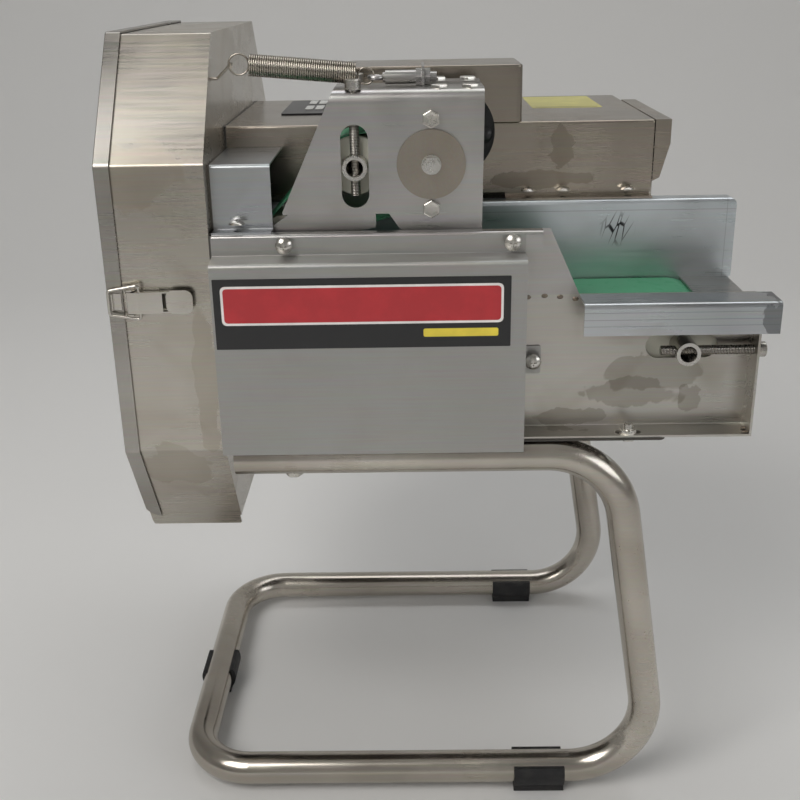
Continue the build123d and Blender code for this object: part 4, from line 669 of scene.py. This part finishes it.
# Painted shade: a thin dark line along each fold.
for axis, fold_at in (("Z", 0.5465), ("X", (446 - 188.5) / 1000)):
    away = maths(guard_tree, "SUBTRACT", None, fold_at)
    size = maths(guard_tree, "ABSOLUTE")
    line = stretch(guard_tree, 0.0005, 0.0001)
    faint = maths(guard_tree, "MULTIPLY", None, 0.4)
    painted_fold_shade = mixer(guard_tree, "MIX", 0.5, None, (0.2, 0.21, 0.22))
    before = guard_surface.inputs["Base Color"].links[0].from_socket
    join(guard_tree, [
        (guard_split.outputs[axis], away.inputs[0]),
        (away.outputs[0], size.inputs[0]),
        (size.outputs[0], line.inputs["Value"]),
        (line.outputs["Result"], faint.inputs[0]),
        (faint.outputs[0], painted_fold_shade.inputs[0]),
        (before, painted_fold_shade.inputs[6]),
        (painted_fold_shade.outputs[2], guard_surface.inputs["Base Color"]),
    ])
coat(guard_steel, "frame_back_plate")

# The table past the belt and the slider bed under it: the same sheet, dulled by sliding food.
table_steel, table_surface, table_finish = steel(
    "table_sheet", "X", (0.5, 0.5, 0.49), (0.34, 0.335, 0.32), 0.24, 0.38, 0.03, 0.8)
coat(table_steel, "end_table", "belt_bed")

# The belts: green food-grade belting with a fine fabric print on its face, scuffed by use.
belt_green, belt_surface = new_material("green_belt")
belt_tree = belt_green.node_tree
belt_place = belt_tree.nodes.new("ShaderNodeTexCoord")
belt_cloud = noise(belt_tree, 18.0, 4.0, 0.6)
belt_print = noise(belt_tree, 1400.0, 1.0)
belt_wear = noise(belt_tree, 90.0, 5.0, 0.7)
belt_wear_range = stretch(belt_tree, 0.55, 0.8, 0.36, 0.6)
belt_tone = mixer(belt_tree, "MIX", 0.5, (0.04, 0.22, 0.11), (0.06, 0.32, 0.16))
belt_height = belt_tree.nodes.new("ShaderNodeBump")
belt_height.inputs["Strength"].default_value = 0.12
belt_height.inputs["Distance"].default_value = 0.0002
join(belt_tree, [
    (belt_place.outputs["Object"], belt_cloud.inputs["Vector"]),
    (belt_place.outputs["Object"], belt_print.inputs["Vector"]),
    (belt_place.outputs["Object"], belt_wear.inputs["Vector"]),
    (belt_cloud.outputs["Fac"], belt_tone.inputs[0]),
    (belt_tone.outputs[2], belt_surface.inputs["Base Color"]),
    (belt_wear.outputs["Fac"], belt_wear_range.inputs["Value"]),
    (belt_wear_range.outputs["Result"], belt_surface.inputs["Roughness"]),
    (belt_print.outputs["Fac"], belt_height.inputs["Height"]),
    (belt_height.outputs["Normal"], belt_surface.inputs["Normal"]),
])
coat(belt_green, "feed_belt", "press_belt")

# The rollers inside the belts: turned from cream nylon bar, with the fine rings of the lathe tool.
nylon, nylon_surface = new_material("roller_nylon")
nylon_tree = nylon.node_tree
nylon_place = nylon_tree.nodes.new("ShaderNodeTexCoord")
nylon_rings = nylon_tree.nodes.new("ShaderNodeTexWave")
nylon_rings.bands_direction = "Y"
nylon_rings.inputs["Scale"].default_value = 260.0
nylon_rings.inputs["Distortion"].default_value = 0.6
nylon_cloud = noise(nylon_tree, 30.0, 3.0)
nylon_tone = mixer(nylon_tree, "MIX", 0.5, (0.66, 0.63, 0.52), (0.8, 0.78, 0.68))
nylon_height = nylon_tree.nodes.new("ShaderNodeBump")
nylon_height.inputs["Strength"].default_value = 0.2
nylon_height.inputs["Distance"].default_value = 0.0002
nylon_surface.inputs["Roughness"].default_value = 0.45
nylon_surface.inputs["Subsurface Weight"].default_value = 0.05
join(nylon_tree, [
    (nylon_place.outputs["Object"], nylon_rings.inputs["Vector"]),
    (nylon_place.outputs["Object"], nylon_cloud.inputs["Vector"]),
    (nylon_cloud.outputs["Fac"], nylon_tone.inputs[0]),
    (nylon_tone.outputs[2], nylon_surface.inputs["Base Color"]),
    (nylon_rings.outputs["Fac"], nylon_height.inputs["Height"]),
    (nylon_height.outputs["Normal"], nylon_surface.inputs["Normal"]),
])
coat(nylon, "feed_drive_roller", "feed_tension_roller", "press_drive_roller", "press_tension_roller",
     "nose_roller")

# Shafts and hollow axles: turned bar and tube, bright on the wall and dull in the bore.
axle_steel, axle_surface, axle_finish = steel(
    "axle_steel", "Y", (0.7, 0.69, 0.66), (0.5, 0.485, 0.46), 0.18, 0.32, 0.02, 0.7)
coat(axle_steel, "feed_axle", "press_axle", "feed_drive_shaft", "press_drive_shaft", "knife_shaft", "hub_nut")

# Tension screws: threaded stainless rods with a plain socket head. The thread is cut as a wave along
# the rod, which stops where the head begins; its grooves are darkened with painted shade.


def threaded(name, axis, head_start):
    """Bolt steel with a thread along an axis, up to where the head starts, in metres; the grooves carry painted shade.
    """
    material, surface, finish = steel(name, "Y", (0.64, 0.62, 0.58), (0.45, 0.43, 0.4), 0.22, 0.36, 0.02, 0.6)
    tree = material.node_tree
    coordinates = tree.nodes.new("ShaderNodeTexCoord")
    split = tree.nodes.new("ShaderNodeSeparateXYZ")
    wave = tree.nodes.new("ShaderNodeTexWave")
    wave.bands_direction = axis
    wave.inputs["Scale"].default_value = 0.314159 / 0.00125
    before_head = maths(tree, "LESS_THAN", None, head_start)
    groove = maths(tree, "MULTIPLY")
    # Painted shade: the grooves of the thread are darkened.
    dark = mixer(tree, "MULTIPLY", 0.5, None, (0.28, 0.26, 0.24))
    root = maths(tree, "SUBTRACT", 1.0)
    painted_groove_shade = maths(tree, "MULTIPLY")
    height = tree.nodes.new("ShaderNodeBump")
    height.inputs["Strength"].default_value = 0.9
    height.inputs["Distance"].default_value = 0.0004
    colour_from = surface.inputs["Base Color"].links[0].from_socket
    normal_from = surface.inputs["Normal"].links[0].from_socket
    join(tree, [
        (coordinates.outputs["Object"], split.inputs["Vector"]),
        (coordinates.outputs["Object"], wave.inputs["Vector"]),
        (split.outputs[axis], before_head.inputs[0]),
        (wave.outputs["Fac"], groove.inputs[0]),
        (before_head.outputs[0], groove.inputs[1]),
        (wave.outputs["Fac"], root.inputs[1]),
        (root.outputs[0], painted_groove_shade.inputs[0]),
        (before_head.outputs[0], painted_groove_shade.inputs[1]),
        (painted_groove_shade.outputs[0], dark.inputs[0]),
        (colour_from, dark.inputs[6]),
        (dark.outputs[2], surface.inputs["Base Color"]),
        (groove.outputs[0], height.inputs["Height"]),
        (normal_from, height.inputs["Normal"]),
        (height.outputs["Normal"], surface.inputs["Normal"]),
    ])
    return material


coat(threaded("feed_screw_thread", "X", 0.264), "feed_screw_front", "feed_screw_back")
coat(threaded("press_screw_thread", "Z", 0.661), "press_screw_front", "press_screw_back")

# Bearings: brownish ground plate, flanged, bolted to the side plates and to the press frame.
bearing_steel, bearing_surface, bearing_finish = steel(
    "bearing_cover_plate", "Y", (0.4, 0.36, 0.31), (0.3, 0.27, 0.23), 0.3, 0.42, 0.03, 0.7)
coat(bearing_steel, "press_bearings", "feed_bearings")

# The casing, the drive box and the raised box: brown-grey sheet, brushed along the machine, glossy
# enough to show the guard and the press in its front.
box_steel, box_surface, box_finish = steel(
    "drive_box_sheet", "X", (0.46, 0.41, 0.35), (0.3, 0.265, 0.225), 0.17, 0.3, 0.03, 0.45)
wet_marks(box_steel, box_surface, [
    (spot(300, 99, 600), (0.012, 0.05, 0.02), 80.0),
    (spot(285, 99, 572), (0.05, 0.05, 0.008), 40.0),
], (0.62, 0.6, 0.56), 0.6)
coat(box_steel, "drive_box", "raised_box", "body_casing")

# The front cover: matt, evenly ground sheet, the palest panel. On it sits a black name panel, left
# generic: a plain red band with a pale edge and a short yellow bar, printed on stiff foil.
cover_steel, cover_surface, cover_finish = steel(
    "front_cover_sheet", "X", (0.44, 0.435, 0.42), (0.4, 0.395, 0.38), 0.44, 0.54, 0.03, 0.2)
coat(cover_steel, "front_cover")


def foil(name, colour, gloss):
    """Printed foil: one ink, slightly mottled, under a thin gloss coat."""
    material, surface, ground = moulded(name, colour, tuple(value * 1.25 for value in colour), gloss, 600.0, 40.0, 0.05)
    surface.inputs["Coat Weight"].default_value = 0.3
    surface.inputs["Coat Roughness"].default_value = 0.25
    return material


def foil_patch(name, material, finish, x_range, y_range, z_range, corner):
    """A thin patch of foil between limits in millimetres, with small rounded corners."""
    low, high = spot(x_range[0], y_range[0], z_range[0]), spot(x_range[1], y_range[1], z_range[1])
    bpy.ops.object.select_all(action="DESELECT")
    bpy.ops.mesh.primitive_cube_add(size=1, location=(low + high) / 2)
    patch = bpy.context.object
    patch.name = name
    patch.scale = high - low
    bpy.ops.object.transform_apply(location=True, rotation=True, scale=True)
    thin = min(range(3), key=lambda axis: (high - low)[axis])
    bpy.ops.object.mode_set(mode="EDIT")
    bpy.ops.mesh.select_mode(type="EDGE")
    cage = bmesh.from_edit_mesh(patch.data)
    for edge in cage.edges:
        run = edge.verts[0].co - edge.verts[1].co
        edge.select_set(abs(run[thin]) > 0.5 * (high - low)[thin])
    bpy.ops.mesh.bevel(offset=corner, segments=4, affect="EDGES")
    bpy.ops.object.mode_set(mode="OBJECT")
    settle(patch, "root", finish, material)
    return patch


foil_patch("name_panel", foil("panel_foil_black", (0.008, 0.008, 0.009), 0.35), "panel_black",
           (4, 245), (-33.2, -33.0), (459.5, 519), 0.0008)
foil_patch("name_band_edge", foil("panel_foil_pale", (0.78, 0.74, 0.72), 0.4), "panel_black",
           (10, 239), (-33.26, -33.15), (480, 513), 0.004)
foil_patch("name_band", foil("panel_foil_red", (0.42, 0.022, 0.028), 0.4), "panel_black",
           (12, 237), (-33.32, -33.2), (482, 511), 0.003)
foil_patch("name_bar", foil("panel_foil_yellow", (0.75, 0.6, 0.06), 0.4), "panel_black",
           (174, 235), (-33.26, -33.15), (468.5, 475.5), 0.0015)

# The bulkhead between the housing and the frame: the whole sheet coloured dark as painted shade, for the
# shadow of its flange that shows as the seam beside the mouth hood.
# Painted shade: dark steel for the bulkhead's shadowed flange.
bulkhead_shade_steel, bulkhead_shade_surface, bulkhead_shade_finish = steel(
    "bulkhead_painted_shade", "Z", (0.2, 0.19, 0.18), (0.09, 0.085, 0.08), 0.35, 0.5, 0.03, 0.6)
coat(bulkhead_shade_steel, "bulkhead")

# The knife housing: eight-sided drum of thin folded sheet, warm grey below and bright on the sloping
# panel that faces the sky. Juice has dried on it in long runs near the lower edges.
housing_steel, housing_surface, housing_finish = steel(
    "housing_sheet", "X", (0.56, 0.525, 0.47), (0.43, 0.4, 0.355), 0.2, 0.34, 0.02, 0.6)
wet_marks(housing_steel, housing_surface, [
    (spot(-50, 30, 340), (0.04, 0.1, 0.025), 30.0),
    (spot(-12, -10, 420), (0.01, 0.1, 0.07), 24.0),
    (spot(-60, -10, 600), (0.05, 0.1, 0.03), 18.0),
], (0.84, 0.81, 0.76), 0.6)
coat(housing_steel, "knife_housing", "hinge_fixed")

# The lid: the same sheet with a folded lip, greyer, held by a hinge behind and a toggle in front.
lid_steel, lid_surface, lid_finish = steel(
    "lid_sheet", "X", (0.46, 0.44, 0.41), (0.3, 0.285, 0.26), 0.22, 0.36, 0.02, 0.6)
coat(lid_steel, "end_cover", "hinge_moving")

# The toggle latch: pressed base and lever, bright wire bail, and the hook on the lid.
latch_steel, latch_surface, latch_finish = steel(
    "latch_steel", "X", (0.66, 0.63, 0.58), (0.46, 0.44, 0.4), 0.14, 0.28, 0.02, 0.7)
coat(latch_steel, "latch_base", "latch_lever", "latch_bail", "lid_catch")

# The mouth hood: bluish sheet box that leads the food into the mouth.
hood_steel, hood_surface, hood_finish = steel(
    "mouth_hood_sheet", "X", (0.56, 0.58, 0.6), (0.4, 0.415, 0.43), 0.22, 0.36, 0.02, 0.6)
coat(hood_steel, "mouth_hood")

# Dome screws with a cross recess, through the cover's strip, its tab, the hood and the box flange.
# The dome is the cap of a ball; the recess is cut with two crossed bars.
bpy.ops.object.select_all(action="DESELECT")
dome_radius = 0.009256
dome_height = 0.0032
bpy.ops.mesh.primitive_uv_sphere_add(
    segments=32, ring_count=48, radius=dome_radius, location=(0, 0, dome_height - dome_radius))
dome = bpy.context.object
bpy.ops.object.mode_set(mode="EDIT")
bpy.ops.mesh.select_all(action="SELECT")
bpy.ops.mesh.bisect(plane_co=(0, 0, 0), plane_no=(0, 0, 1), use_fill=True, clear_inner=True)
bpy.ops.object.mode_set(mode="OBJECT")
for long_x, long_y in ((0.0056, 0.0011), (0.0011, 0.0056)):
    bpy.ops.object.select_all(action="DESELECT")
    bpy.ops.mesh.primitive_cube_add(size=1, location=(0, 0, dome_height))
    bar = bpy.context.object
    bar.scale = (long_x, long_y, 0.004)
    bpy.ops.object.transform_apply(location=True, rotation=True, scale=True)
    select_only(dome)
    cut = dome.modifiers.new("recess", "BOOLEAN")
    cut.operation = "DIFFERENCE"
    cut.object = bar
    apply_modifiers(dome)
    bpy.data.objects.remove(bar)
select_only(dome)
bpy.ops.object.shade_smooth_by_angle(angle=radians(30))
dome_places = [
    (62, -13.5, 542.5, 0, -1, 0), (247, -13.5, 542.5, 0, -1, 0), (267, -1.55, 436, 0, -1, 0),
    (22.7, -3, 551.5, 0, 0, 1), (270, 91.5, 557.5, 0, 0, 1), (301.4, 91.5, 557.5, 0, 0, 1),
    (358.9, 91.5, 557.5, 0, 0, 1),
]
for index, (x, y, z, *facing) in enumerate(dome_places):
    screw = copy_to(dome, f"dome_screw_{index + 1}", spot(x, y, z), facing)
    settle(screw, "root", "bolt", bolt_steel, "cover_screws")
bpy.data.objects.remove(dome)

# The round port cover and its shadowed ring behind the press frame: moulded plastic, coloured near black as painted
# shade for the dark opening.
port_painted_shade, port_surface, port_ground = moulded(
    "port_painted_shade", (0.008, 0.008, 0.009), (0.03, 0.03, 0.032), 0.4, 700.0, 50.0)
coat(port_painted_shade, "port_cover")

# The control panel on the box top: black foil with two rows of pale raised keys, nothing printed.
panel_plastic, panel_surface, panel_ground = moulded(
    "panel_plastic", (0.01, 0.01, 0.012), (0.03, 0.03, 0.033), 0.3, 800.0, 60.0, 0.05)
panel_tree = panel_plastic.node_tree
panel_place = panel_tree.nodes.new("ShaderNodeTexCoord")
panel_split = panel_tree.nodes.new("ShaderNodeSeparateXYZ")
panel_raised = maths(panel_tree, "GREATER_THAN", None, 0.62435)
panel_keys = mixer(panel_tree, "MIX", 0.5, None, (0.62, 0.62, 0.6))
join(panel_tree, [
    (panel_place.outputs["Object"], panel_split.inputs["Vector"]),
    (panel_split.outputs["Z"], panel_raised.inputs[0]),
    (panel_raised.outputs[0], panel_keys.inputs[0]),
    (panel_ground.outputs[2], panel_keys.inputs[6]),
    (panel_keys.outputs[2], panel_surface.inputs["Base Color"]),
])
coat(panel_plastic, "control_panel")

# A plain pale yellow label on the box top, with a thin darker border and nothing on it.
foil_patch("plain_label", foil("label_foil_yellow", (0.52, 0.48, 0.14), 0.45), "sheet",
           (284, 352), (200, 303), (623.0, 623.15), 0.002)
foil_patch("plain_label_line", foil("label_foil_dark", (0.2, 0.18, 0.05), 0.45), "sheet",
           (288, 348), (205, 209), (623.1, 623.22), 0.0008)

# Motors inside the casing: grey enamel over cast metal.
enamel, enamel_surface, enamel_ground = moulded(
    "motor_enamel", (0.13, 0.15, 0.17), (0.22, 0.24, 0.26), 0.4, 500.0, 20.0)
coat(enamel, "knife_motor", "feed_gearmotor")

# The knife: cast and machined aluminium carrier, ground blades with a bright bevel near the edge.
carrier_metal, carrier_surface, carrier_finish = steel(
    "carrier_aluminium", "Y", (0.78, 0.78, 0.78), (0.6, 0.6, 0.6), 0.35, 0.5, 0.08, 0.3)
coat(carrier_metal, "knife_carrier")
blade_steel, blade_surface, blade_finish = steel(
    "blade_steel", "Z", (0.8, 0.8, 0.8), (0.66, 0.66, 0.66), 0.12, 0.2, 0.03, 0.2)
coat(blade_steel, "knife_blades")

# Chain and chain wheels: oiled steel; the chain shows its links as a pattern along the loop.
chain_steel, chain_surface, chain_finish = steel(
    "oiled_chain_steel", "Y", (0.26, 0.24, 0.2), (0.12, 0.11, 0.09), 0.28, 0.45, 0.08, 0.9)
coat(chain_steel, "drive_chain", "gear_wheel", "idler_wheel")

# The press frame: thicker plate folded over the top, brushed upward; its nose arms and the spring
# bracket are the same plate.
press_steel, press_surface, press_finish = steel(
    "press_plate", "X", (0.56, 0.55, 0.54), (0.41, 0.4, 0.39), 0.24, 0.38, 0.02, 0.6)
coat(press_steel, "press_frame", "nose_arms", "spring_bracket", "eye_bolt")

# The tension spring: 49 close coils of drawn wire with a round hook ring at each end, from the wire
# on the housing to the eye bolt.
wire_steel, wire_surface, wire_finish = steel(
    "spring_wire", "Y", (0.5, 0.46, 0.4), (0.34, 0.31, 0.26), 0.18, 0.32, 0.02, 0.6)
wire_radius = 0.0009
coil_radius = 0.0082
spring_start = spot(33.5, 42, 679.4)
spring_end = spot(122.4, 42, 671.2)
spring_axis = spring_end - spring_start
coil_pitch = 2 * wire_radius + 0.00002
coil_turns = int((spring_axis.length - 2 * wire_radius) / coil_pitch)
bpy.ops.object.select_all(action="DESELECT")
bpy.ops.mesh.primitive_circle_add(
    vertices=8, radius=wire_radius * 0.97, location=(coil_radius, 0, 0), rotation=(pi / 2, 0, 0))
spring = bpy.context.object
spring.name = "tension_spring_coils"
bpy.ops.object.transform_apply(location=True, rotation=True, scale=True)
winding = spring.modifiers.new("winding", "SCREW")
winding.angle = 2 * pi
winding.steps = 24
winding.render_steps = 24
winding.screw_offset = coil_pitch
winding.iterations = coil_turns
winding.axis = "Z"
apply_modifiers(spring)
bpy.ops.object.mode_set(mode="EDIT")
bpy.ops.mesh.select_all(action="SELECT")
bpy.ops.mesh.remove_doubles(threshold=0.00001)
bpy.ops.mesh.select_all(action="DESELECT")
bpy.ops.mesh.select_mode(type="EDGE")
bpy.ops.mesh.select_non_manifold()
bpy.ops.mesh.edge_face_add()
bpy.ops.mesh.select_all(action="SELECT")
bpy.ops.mesh.normals_make_consistent(inside=False)
bpy.ops.object.mode_set(mode="OBJECT")
spring.matrix_world = (
    Matrix.Translation(spring_start + spring_axis.normalized() * wire_radius)
    @ Vector((0, 0, 1)).rotation_difference(spring_axis).to_matrix().to_4x4()
)
bpy.ops.object.transform_apply(location=True, rotation=True, scale=True)
for ring_place, ring_radius in ((spot(26, 42, 679.8), 0.0083), (spot(129.5, 42, 669.0), 0.0066)):
    bpy.ops.object.select_all(action="DESELECT")
    bpy.ops.mesh.primitive_torus_add(
        major_segments=40, minor_segments=10, major_radius=ring_radius, minor_radius=wire_radius * 0.97,
        location=ring_place, rotation=(pi / 2, 0, 0))
    ring = bpy.context.object
    spring.select_set(True)
    bpy.context.view_layer.objects.active = spring
    bpy.ops.object.join()
select_only(spring)
bpy.ops.object.shade_smooth()
spring.data.materials.clear()
spring.data.materials.append(wire_steel)
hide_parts("tension_spring")
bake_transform(spring)
coat(wire_steel, "spring_hook")
